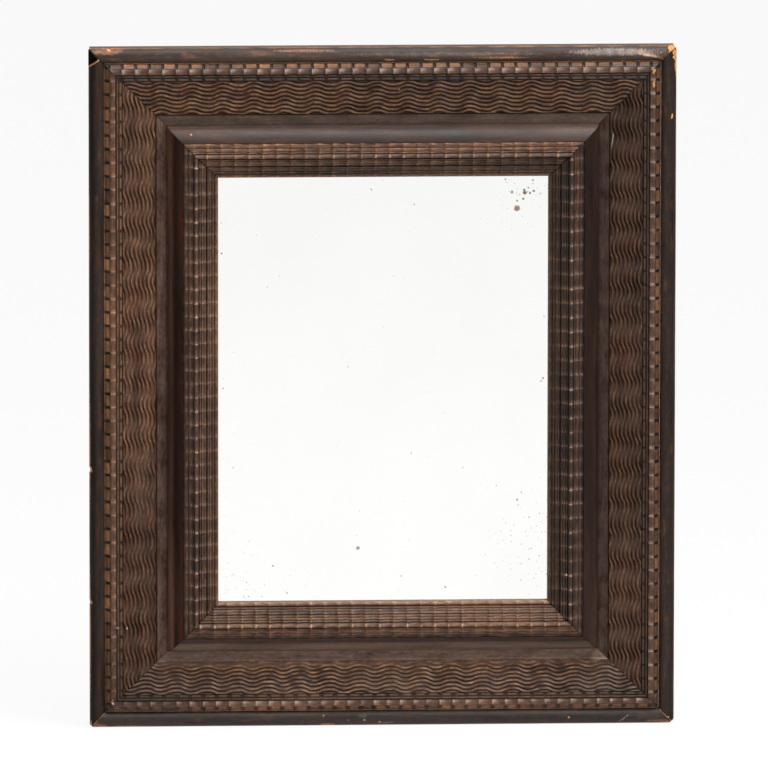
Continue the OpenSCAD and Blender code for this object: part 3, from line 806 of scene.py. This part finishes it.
def make_sight(side, wood):
    width = SIGHT_U1 - SIGHT_U0
    u_line = np.linspace(SIGHT_U0, SIGHT_U1, int(width / 0.33))
    front = np.column_stack([u_line, sight_lines(u_line - SIGHT_U0, side)[0]])
    rebate = GLASS_U - 0.3
    back = path([tuple(front[-1]), (SIGHT_U1, GLASS_D), (rebate, GLASS_D), (rebate, CARCASE_D),
                 (SIGHT_U0, CARCASE_D), (SIGHT_U0, OVOLO_D)], 7.0)
    ripple_at = [0, 1.0, 10, 12, 21, 27, width - 1, width]
    ripple = [0.25, 0.5, 0.65, 1, 0.8, 0.6, 0.36, 0.2]
    pitch, cusp = SIGHT_CUT[side]
    seed = seed_of("sight", side)

    def shape(s, u0, d0, is_front):
        x = u0 - SIGHT_U0
        near, which, _ = cuts(s, pitch, cusp)
        cut = scallop(s, pitch, cusp) * uneven(which, seed, 0.14)
        drift = wander(s, seed + 4, 380, 0.06) + 0.06 * grit(s, u0 * 3, seed + 6, 9)
        d = d0 + (SIGHT_RISE * (cut - 0.76) * np.interp(x, ripple_at, ripple) + drift) * is_front

        sunk = sight_lines(x, side)[1]
        crown = bump_at(x, SIGHT_CROWN, 1.7)
        bright = uneven(which, seed + 11, 0.45)
        outer = 1 - smooth(x, 10.5, 11.5)
        edge = smooth(x, width - 2.4, width - 1.0)
        wear = np.clip(0.5 + 0.5 * grit(s * 0.5, u0 * 3, seed + 7, 12), 0, 1)
        inner = smooth(x, 17, 18) * (0.12 + 0.14 * smooth(near, 0.72, 0.97) * bright)
        worn = outer * (0.18 + 0.14 * near ** 2) * (1 - sunk) * (0.5 + wear)
        worn = worn + crown * (SIGHT_BASE_WORN[side] + 0.75 * smooth(near, 0.80, 0.97) * bright)
        worn = worn + inner * (1 - sunk) * (0.4 + 0.9 * wear)
        worn = worn + 0.45 * edge * (0.7 + 0.4 * near ** 2) + 0.3 * bump_at(x, 1.1, 0.7) * wear
        # Painted shade at the lip next to the ovolo
        lip = 1 - smooth(x, *SIGHT_LIP_REACH[side])
        tone_and_shade = (1 + outer * (SIGHT_OUTER[side] - 1)) * (1 + lip * (SIGHT_LIP[side] - 1))
        # Dark grooves, and the crown dark between its cusps: painted shade, with dirt
        grime = sunk * 0.9 + SIGHT_CROWN_DARK[side] * smooth(1 - near, 0.1, 0.5) * crown
        # Painted highlight on the cusps of the crown
        glint = SIGHT_GLINT[side] * smooth(near, 0.86, 0.97) * (bright - 0.4)
        red = 0.5 * crown * smooth(near, 0.6, 0.9) + 0.2 * outer
        tone_and_shade = tone_and_shade * (1 - 0.14 * smooth(x, 20, 23))
        # The crown is made pale, with the painted highlight, in the pale mask
        chalk = crown * (SIGHT_CROWN_PALE[side] * (0.4 + 0.6 * wear) + glint)
        return u0, d, on_front(is_front, tone_and_shade, worn=worn, grime=grime, red=red, chalk=chalk,
                               bare=chipped("sight", side, s, u0)[0])

    sweep("sight", side, front, back, shape, columns(side, SIGHT_U0, pitch, cusp, 14), wood)


# Materials

def linear(colour):
    """An sRGB colour, 0 to 255, as linear RGBA. A node's output stays as it is"""
    if isinstance(colour, bpy.types.NodeSocket):
        return colour
    shares = [c / 255 for c in colour]
    return (*(c / 12.92 if c <= 0.04045 else ((c + 0.055) / 1.055) ** 2.4 for c in shares), 1.0)


class Graph:
    """The nodes of a material or world, with short calls for the kinds used here"""

    def __init__(self, owner):
        owner.use_nodes = True
        self.owner = owner
        self.tree = owner.node_tree
        self.tree.nodes.clear()

    def add(self, kind, inputs=(), **settings):
        node = self.tree.nodes.new("ShaderNode" + kind)
        for key, value in settings.items():
            setattr(node, key, value)
        for key, value in dict(inputs).items():
            if isinstance(value, bpy.types.NodeSocket):
                self.tree.links.new(value, node.inputs[key])
            else:
                node.inputs[key].default_value = value
        return node

    def attribute(self, name, output="Fac"):
        return self.add("Attribute", attribute_name=name).outputs[output]

    def place(self):
        return self.add("TexCoord").outputs["Object"]

    def split(self, vector):
        return self.add("SeparateXYZ", {"Vector": vector}).outputs

    def scaled(self, vector, scale):
        return self.add("Mapping", {"Vector": vector, "Scale": scale}).outputs[0]

    def stretched(self, vector, scale, detail, rough):
        """Noise with a scale of its own along each axis"""
        return self.noise(self.scaled(vector, scale), 1.0, detail, rough)

    def noise(self, vector, scale, detail, rough, distortion=0.0):
        node = self.add("TexNoise", {"Vector": vector, "Scale": scale, "Detail": detail,
                                               "Roughness": rough, "Distortion": distortion})
        return node.outputs["Fac"]

    def math(self, op, a, b=0.0, clamp=False):
        return self.add("Math", {0: a, 1: b}, operation=op, use_clamp=clamp).outputs[0]

    def times(self, a, b):
        return self.math("MULTIPLY", a, b)

    def plus(self, a, b):
        return self.math("ADD", a, b)

    def most(self, a, b):
        return self.math("MAXIMUM", a, b)

    def span(self, value, low, high, to_low=0.0, to_high=1.0):
        node = self.add("MapRange", {"Value": value, "From Min": low, "From Max": high,
                                               "To Min": to_low, "To Max": to_high}, clamp=True)
        return node.outputs[0]

    def mix(self, share, a, b, blend="MIX"):
        inputs = {0: share, 6: linear(a), 7: linear(b)}
        return self.add("Mix", inputs, data_type="RGBA", blend_type=blend, clamp_factor=True).outputs[2]

    def shade(self, colour, amount):
        grey = self.add("CombineColor", {0: amount, 1: amount, 2: amount}).outputs[0]
        return self.mix(1.0, colour, grey, "MULTIPLY")

    def bump(self, height, strength, distance):
        inputs = {"Height": height, "Strength": strength, "Distance": distance}
        return self.add("Bump", inputs).outputs[0]

    def surface(self, **inputs):
        named = {key.replace("_", " "): value for key, value in inputs.items()}
        return self.add("BsdfPrincipled", named).outputs[0]

    def blend(self, share, first, second):
        return self.add("MixShader", {0: share, 1: first, 2: second}).outputs[0]

    def finish(self, shader, kind="Material"):
        self.add("Output" + kind, {"Surface": shader})
        return self.owner

    def seen_plainly(self):
        """1 where the camera sees a surface directly, in a mirror or through glass"""
        rays = self.add("LightPath").outputs
        seen = self.plus(rays["Is Camera Ray"], rays["Is Glossy Ray"])
        return self.math("ADD", seen, rays["Is Transmission Ray"], clamp=True)


def material_graph(name):
    return Graph(bpy.data.materials.new(name))


# For each moulding, or one side of it: darkest stain, faded stain, rubbed wood, roughness, how strong its grain
# is and its gloss. The copies for single sides are the same wood set for the light that side gets, mostly with
# less gloss where it should show fewer reflections
LOOKS = {
    "torus": ((39, 30, 25), (58, 46, 38), (156, 106, 70), 0.52, 0.5, 0.28),
    "torus_upright": ((39, 29, 24), (58, 46, 39), (156, 104, 66), 0.48, 0.6, 0.16),
    "bead": ((66, 49, 38), (98, 74, 60), (162, 116, 82), 0.40, 0.8, 0.28),
    "bead_upright": ((66, 46, 34), (98, 71, 54), (162, 116, 80), 0.42, 0.8, 0.26),
    "waves": ((57, 38, 27), (86, 61, 45), (148, 110, 83), 0.42, 0.8, 0.22),
    "waves_top": ((61, 38, 24), (90, 61, 41), (153, 110, 77), 0.45, 0.8, 0.14),
    "ovolo": ((44, 28, 21), (68, 48, 38), (119, 96, 82), 0.50, 0.45, 0.30),
    "ovolo_bottom": ((43, 30, 23), (67, 51, 41), (119, 99, 86), 0.52, 0.45, 0.22),
    "ovolo_left": ((46, 28, 20), (67, 45, 36), (122, 101, 91), 0.48, 0.5, 0.07),
    "ovolo_right": ((45, 29, 22), (65, 45, 36), (122, 99, 90), 0.46, 0.5, 0.09),
    "sight": ((60, 42, 30), (94, 68, 51), (170, 123, 88), 0.48, 0.8, 0.24),
}
RAW_DARK, RAW_LIGHT, STAINED_EDGE = (156, 96, 46), (208, 152, 94), (58, 42, 34)
GROOVE_BLACK, EBONY, MAHOGANY, DUST_AND_HIGHLIGHT_COLOUR = (34, 17, 6), (30, 35, 37), (92, 44, 28), (200, 186, 180)


def stained_wood(kind):
    """Ebonised fruitwood, rubbed brown on the high places and dark in the cuts. The darkness in the cuts is
    painted shade with dirt, and the tone and pale masks paint light, shade and highlights as well
    """
    dark, faded, rubbed, matt, grain, gloss = LOOKS[kind]
    g = material_graph("stained_" + kind)
    rail = g.attribute("rail", "Vector")
    worn, grime, bare, stain, red, tone_and_shade, chalk = (g.attribute(n) for n in MASKS)
    streak = g.stretched(rail, (30, 640, 640), 6, 0.65)
    figure = g.stretched(rail, (9, 90, 90), 4, 0.55)
    mottle = g.stretched(rail, (150, 330, 330), 4, 0.6)
    pores = g.stretched(rail, (130, 2100, 2100), 3, 0.5)
    chatter = g.stretched(rail, (950, 70, 70), 2, 0.5)
    cloud = g.noise(rail, 22.0, 4, 0.6)
    speck = g.noise(rail, 620.0, 3, 0.6)

    colour = g.mix(g.span(figure, 0.36, 0.64), dark, faded)
    colour = g.mix(g.times(red, g.span(cloud, 0.3, 0.6, 0.4, 1.0)), colour, MAHOGANY)
    colour = g.shade(colour, g.span(streak, 0.28, 0.72, 1 - 0.4 * grain, 1 + 0.4 * grain))
    # Wear, which on the bead's crown includes a painted highlight after each cusp
    wear = g.plus(g.span(mottle, 0.3, 0.7, -0.14, 0.14), g.span(streak, 0.3, 0.7, -0.1 * grain, 0.1 * grain))
    wear = g.plus(worn, g.times(wear, g.span(worn, 0.0, 0.25, 0.35, 1.0)))
    paler = g.shade(rubbed, g.span(streak, 0.28, 0.72, 0.74, 1.26))
    colour = g.mix(g.span(wear, 0.08, 1.05, 0.0, 0.95), colour, paler)
    lit = g.times(wear, g.span(speck, 0.35, 0.62))
    colour = g.mix(g.span(lit, 0.72, 1.05, 0.0, 0.5), colour, RAW_LIGHT)
    colour = g.mix(g.times(stain, g.span(mottle, 0.3, 0.7, 0.8, 1.0)), colour, EBONY)
    # Darkened where the grime mask is set: dirt in the cuts, with painted shade in grooves, creases, valleys and
    # at risers
    colour = g.mix(g.times(grime, g.span(cloud, 0.3, 0.65, 1.0, 0.82)), colour, GROOVE_BLACK)
    colour = g.mix(g.span(pores, 0.60, 0.70, 0.0, 0.4), colour, GROOVE_BLACK)
    # Tone: the wood's own lightness with painted light and shade for each side
    colour = g.shade(colour, g.times(tone_and_shade, g.span(mottle, 0.3, 0.7, 0.86, 1.14)))
    colour = g.shade(colour, g.span(chatter, 0.3, 0.7, 1 - 0.12 * grain, 1 + 0.12 * grain))
    # Paled where the chalk mask is set: real dust and dried polish, and painted highlights on crowns, notch rims,
    # crests and the top torus
    colour = g.mix(g.times(chalk, g.span(mottle, 0.35, 0.62, 0.45, 1.0)), colour, DUST_AND_HIGHLIGHT_COLOUR)
    raw = g.mix(g.span(streak, 0.3, 0.7), RAW_DARK, RAW_LIGHT)
    colour = g.mix(g.span(g.plus(bare, g.span(speck, 0.3, 0.7, -0.2, 0.2)), 0.3, 0.62), colour, raw)

    rough = g.plus(g.span(cloud, 0.3, 0.7, matt - 0.05, matt + 0.10), g.times(grime, 0.25))
    rough = g.plus(g.math("SUBTRACT", rough, g.times(worn, 0.12)), g.times(bare, 0.25))
    height = g.plus(g.times(streak, 0.6), g.times(speck, 0.25))
    height = g.math("SUBTRACT", height, g.span(pores, 0.58, 0.70, 0.0, 0.5))
    height = g.plus(height, g.times(chatter, 0.5 * grain))
    shader = g.surface(Base_Color=colour, Roughness=rough, Normal=g.bump(height, 0.36, 0.0004),
                       Specular_IOR_Level=gloss, IOR=1.5)
    return g.finish(shader)


def stained_rim(g, place, wear):
    """1 on the carcase's outer faces, which were stained with the front, less where it has rubbed off"""
    across = g.split(place)
    beyond = [g.math("SUBTRACT", g.math("ABSOLUTE", across[axis]), (half - TORUS_U0 - 4.0) * MM)
              for axis, half in ((0, HALF_W), (2, HALF_H))]
    outer = g.span(g.most(*beyond), 0.0012, 0.002)
    return g.times(outer, g.math("SUBTRACT", 0.94, g.times(g.span(wear, 0.5, 0.6), 0.35)))


def plain_wood(name, light, dark, ring_scale, tint=0.5, axis="x", stained_edge=False):
    """Unpolished softwood: growth rings drawn out along the board, darkened by age and handling"""
    g = material_graph(name)
    place = g.place()
    order = 1 if axis == "x" else -1
    figure = g.noise(g.scaled(place, (3, 40, 40)[::order]), ring_scale, 5, 0.55, 0.6)
    streak = g.stretched(place, (24, 1300, 1300)[::order], 5, 0.6)
    cloud = g.noise(place, 9.0, 4, 0.6)
    bands = g.math("FRACT", g.times(figure, 15.0))
    late = g.times(g.span(bands, 0.15, 0.85), g.span(bands, 1.0, 0.88))
    colour = g.mix(late, light, dark)
    colour = g.shade(colour, g.span(streak, 0.3, 0.7, 0.70, 1.22))
    colour = g.mix(g.span(cloud, 0.45, 0.72, 0.0, tint), colour, tuple(c * 0.55 for c in dark))
    if stained_edge:
        wear = g.plus(g.times(cloud, 0.6), g.times(streak, 0.4))
        colour = g.mix(stained_rim(g, place, wear), colour, STAINED_EDGE)
    height = g.plus(g.times(streak, 0.7), g.times(late, 0.25))
    return g.finish(g.surface(Base_Color=colour, Roughness=g.span(cloud, 0.3, 0.7, 0.62, 0.8),
                              Normal=g.bump(height, 0.4, 0.0005), Specular_IOR_Level=0.3))


def old_metal(name, bright, tarnish, roughness, amount):
    g = material_graph(name)
    place = g.place()
    cloud = g.noise(place, 60.0, 5, 0.62)
    fine = g.noise(place, 900.0, 4, 0.6)
    stain = g.span(g.plus(cloud, g.times(fine, 0.25)), 0.5, 0.78, 0.0, amount)
    rough = g.plus(g.span(cloud, 0.3, 0.7, roughness, roughness + 0.14), g.times(stain, 0.2))
    return g.finish(g.surface(Base_Color=g.mix(stain, bright, tarnish), Roughness=rough,
                              Normal=g.bump(fine, 0.25, 0.0003), Metallic=1.0))


# Larger foxing marks in the silvering: place across and up from the middle, radius in millimetres, and darkness
FOX_MARKS = (
    (144.6, 201.8, 2.1, 1.0), (144.0, 204.4, 1.3, 1.0), (136.7, 185.6, 3.0, 0.9), (131.5, 202.4, 1.5, 0.8),
    (136.7, 193.4, 1.0, 0.8), (142.9, 195.5, 1.2, 0.9), (149.8, 201.4, 1.3, 0.9), (153.7, 203.5, 1.3, 0.9),
    (148.4, 206.8, 0.9, 0.8), (152.8, 214.5, 1.0, 0.8), (152.9, 211.2, 0.8, 0.5), (124.6, 215.5, 1.0, 0.7),
    (160.3, 200.7, 1.0, 0.5), (163.7, 10.2, 1.0, 0.9), (161.7, 7.1, 0.9, 0.8), (137.5, -115.8, 1.1, 0.8),
    (141.8, -108.0, 0.9, 0.5), (-25.4, -164.7, 1.8, 0.8), (-112.3, -183.0, 1.1, 0.6), (-165.0, 141.0, 0.9, 0.9),
    (-163.4, 1.6, 0.8, 0.7), (-12.0, 206.0, 0.9, 0.7), (31.6, 190.2, 0.9, 0.5), (64.0, -206.0, 1.3, 0.6),
    (-98.0, -211.0, 0.9, 0.7), (29.0, -66.8, 0.8, 0.5), (19.0, -194.0, 0.9, 0.6),
)

# Where fine foxing is thick: place across and up, reach in millimetres, and how thick
FOX_CLOUDS = ((146, 204, 46, 0.9), (168, -160, 95, 1.0), (-140, -215, 75, 0.85))

# Three sizes of speck: cells per metre, what share of them is empty where it is clean and where it is foxed, and
# the largest speck as a share of a cell
SPECKS = ((85.0, 0.93, 0.42, 0.14), (190.0, 0.97, 0.45, 0.22), (380.0, 0.99, 0.5, 0.3))


def foxing(g, place, ragged):
    """1 where the silver is spoiled"""
    def patch(cx, cz, reach):
        centre = g.add("CombineXYZ", {0: cx * MM, 1: -GLASS_D * MM, 2: cz * MM}).outputs[0]
        away = g.add("VectorMath", {0: place, 1: centre}, operation="DISTANCE")
        return g.span(away.outputs["Value"], 0.0, reach * MM, 1.0, 0.0)

    fox = 0.0
    for cx, cz, r, dark in FOX_MARKS:
        fox = g.most(fox, g.span(g.plus(patch(cx, cz, 2 * r), ragged), 0.42, 0.62, 0.0, dark))
    dense = g.span(g.split(place)[0], -0.155, -0.172, 0.0, 0.5)
    for cx, cz, reach, amount in FOX_CLOUDS:
        dense = g.most(dense, g.times(patch(cx, cz, reach), amount))
    for scale, sparse, full, largest in SPECKS:
        cells = g.add("TexVoronoi", {"Vector": place, "Scale": scale, "Randomness": 1.0}, feature="F1")
        draw = g.add("SeparateColor", {0: cells.outputs["Color"]}).outputs
        over = g.math("SUBTRACT", draw[0], g.span(dense, 0.0, 1.0, sparse, full))
        reach = g.plus(g.span(over, 0.0, 1 - full, 0.3 * largest, largest), g.times(ragged, 0.25))
        near = g.math("SUBTRACT", reach, cells.outputs["Distance"])
        hit = g.times(g.span(near, -0.03, 0.03), g.math("GREATER_THAN", over, 0.0))
        fox = g.most(fox, g.times(hit, g.span(draw[1], 0.0, 1.0, 0.3, 0.95)))
    return fox


def silvered_glass():
    """An old mirror plate: bright silvering with fine foxing, heavier at the upper and lower right"""
    g = material_graph("silvered_glass")
    place = g.place()
    x, _, z = g.split(place)
    blur = g.noise(place, 420.0, 3, 0.6)
    haze = g.noise(place, 9.0, 5, 0.6)
    edge = g.times(g.span(x, 0.02, 0.17), g.span(z, 0.0, -0.22))
    silver = g.mix(g.times(edge, g.span(haze, 0.35, 0.7)), (253, 253, 252), (246, 247, 243))
    silver = g.mix(g.span(haze, 0.35, 0.7, 0.0, 0.7), silver, (250, 250, 247))
    mirror = g.surface(Base_Color=silver, Metallic=1.0, Roughness=g.span(haze, 0.3, 0.7, 0.02, 0.06))
    spoiled = g.surface(Base_Color=g.mix(blur, (84, 62, 40), (138, 112, 82)), Roughness=0.4)
    fox = foxing(g, place, g.span(blur, 0.3, 0.7, -0.12, 0.12))
    return g.finish(g.blend(fox, mirror, spoiled))


def dress_nodes():
    """Gives every CAD node that stays its own material"""
    level_board = (190, 138, 88), (132, 84, 48), 1.0, 0.6, "x", True
    upright_board = (186, 134, 86), (128, 80, 46), 1.0, 0.6, "z", True
    slip = (204, 168, 120), (160, 118, 76), 1.4, 0.3
    looks = {
        ("carcase_top_rail", "carcase_bottom_rail"): plain_wood("carcase_wood_h", *level_board),
        ("carcase_left_stile", "carcase_right_stile"): plain_wood("carcase_wood_v", *upright_board),
        ("corner_pegs",): plain_wood("peg_wood", (158, 112, 70), (104, 68, 42), 1.6, 0.4),
        ("glass_slip_top", "glass_slip_bottom"): plain_wood("slip_wood_h", *slip),
        ("glass_slip_left", "glass_slip_right"): plain_wood("slip_wood_v", *slip, "z"),
        ("backboard_",): plain_wood("backboard_wood", (176, 140, 100), (124, 90, 60), 0.8, 0.7),
        ("turn_button_",): old_metal("button_brass", (196, 152, 84), (92, 70, 44), 0.32, 0.8),
        ("hanger_strap_", "hanger_ring_"): old_metal("hanger_brass", (188, 146, 80), (84, 64, 42), 0.36, 0.85),
        ("button_screws", "hanger_screws"): old_metal("screw_steel", (150, 148, 144), (72, 60, 52), 0.38, 0.7),
        ("mirror_plate",): silvered_glass(),
    }
    for starts, material in looks.items():
        for name, node in frame["nodes"].items():
            if name.startswith(starts):
                node.data.materials.clear()
                node.data.materials.append(material)


# Light, floor and camera

AMBIENT, KEY_W, TOP_W = 0.26, 82.0, 60.0
KEY_AT, TOP_AT = (1.5, -1.6, 2.1), (0.2, -0.7, 2.5)
KEY_SIZE, TOP_SIZE = (1.1, 1.1), (1.6, 1.5)
FLOOR_WHITE, FLOOR_REACH, FLOOR_GAP = 0.93, 16.0, 0.0004
WHITE = (1, 1, 1, 1)

# How dim the studio is at its sides, and between which steps to the side it becomes so
SIDE_DIM, DIM_FROM, DIM_TO = 0.12, 0.35, 0.75

# The photograph's view: angles in degrees, distance and aim in metres, lens in millimetres
VIEW_AZ, VIEW_EL, VIEW_ROLL = -2.84, 9.01, 0.066
VIEW_DISTANCE, VIEW_LENS = 14.808, 677.57
VIEW_AIM = (0.0030, 0.0, -0.0013)


def floor_material():
    g = material_graph("floor")
    colour = g.mix(g.noise(g.place(), 3.0, 3, 0.5), (226, 226, 225), (232, 232, 231))
    matt = g.add("BsdfDiffuse", {"Color": colour}).outputs[0]
    white = g.add("Emission", {"Color": WHITE, "Strength": 1.0}).outputs[0]
    return g.finish(g.blend(g.times(g.seen_plainly(), FLOOR_WHITE), matt, white))


def make_floor():
    mesh = bpy.data.meshes.new("floor")
    r, z = FLOOR_REACH, CAD_LOW.z - FLOOR_GAP
    mesh.from_pydata([(-r, -r, z), (r, -r, z), (r, r, z), (-r, r, z)], [], [(0, 1, 2, 3)])
    mesh.materials.append(floor_material())
    floor = bpy.data.objects.new("floor", mesh)
    bpy.context.scene.collection.objects.link(floor)


def make_world():
    """Soft light all round, and white to the camera. Reflections see it white in front and dim at both sides"""
    world = bpy.data.worlds.new("studio")
    bpy.context.scene.world = world
    g = Graph(world)
    sideways = g.math("ABSOLUTE", g.split(g.add("TexCoord").outputs["Generated"])[0])
    camera = g.add("LightPath").outputs["Is Camera Ray"]
    level = g.most(g.span(sideways, DIM_FROM, DIM_TO, 1.0, SIDE_DIM), camera)
    soft = g.add("Background", {"Color": WHITE, "Strength": AMBIENT}).outputs[0]
    white = g.add("Background", {"Color": WHITE, "Strength": level}).outputs[0]
    g.finish(g.blend(g.seen_plainly(), soft, white), "World")


def lamp(name, place, size, power):
    """A soft panel that faces the middle of the frame"""
    data = bpy.data.lights.new(name, "AREA")
    data.shape, data.size, data.size_y, data.energy = "RECTANGLE", size[0], size[1], power
    obj = bpy.data.objects.new(name, data)
    obj.location = place
    obj.rotation_euler = (-obj.location).to_track_quat("-Z", "Y").to_euler()
    obj.visible_camera = False
    bpy.context.scene.collection.objects.link(obj)


def make_camera():
    data = bpy.data.cameras.new("camera")
    data.lens, data.sensor_width, data.clip_start, data.clip_end = VIEW_LENS, 36.0, 0.1, 100.0
    cam = bpy.data.objects.new("camera", data)
    bpy.context.scene.collection.objects.link(cam)
    az, el = math.radians(VIEW_AZ), math.radians(VIEW_EL)
    back = Vector((math.sin(az) * math.cos(el), -math.cos(az) * math.cos(el), math.sin(el)))
    cam.location = Vector(VIEW_AIM) + back * VIEW_DISTANCE
    cam.rotation_mode = "QUATERNION"
    cam.rotation_quaternion = (-back).to_track_quat("-Z", "Y") @ Quaternion((0, 0, 1), math.radians(VIEW_ROLL))
    bpy.context.scene.camera = cam


def main():
    woods = {name: stained_wood(name) for name in LOOKS}
    for kind, make in zip(KINDS, (make_torus, make_bead, make_band, make_ovolo, make_sight)):
        for side in SIDES:
            own = (kind + "_" + side, kind + ("" if side in LEVEL else "_upright"), kind)
            make(side, next(woods[name] for name in own if name in woods))
    dress_nodes()
    make_floor()
    make_world()
    lamp("key", KEY_AT, KEY_SIZE, KEY_W)
    lamp("top", TOP_AT, TOP_SIZE, TOP_W)
    make_camera()
    bpy.context.scene.view_settings.view_transform = "Standard"


main()
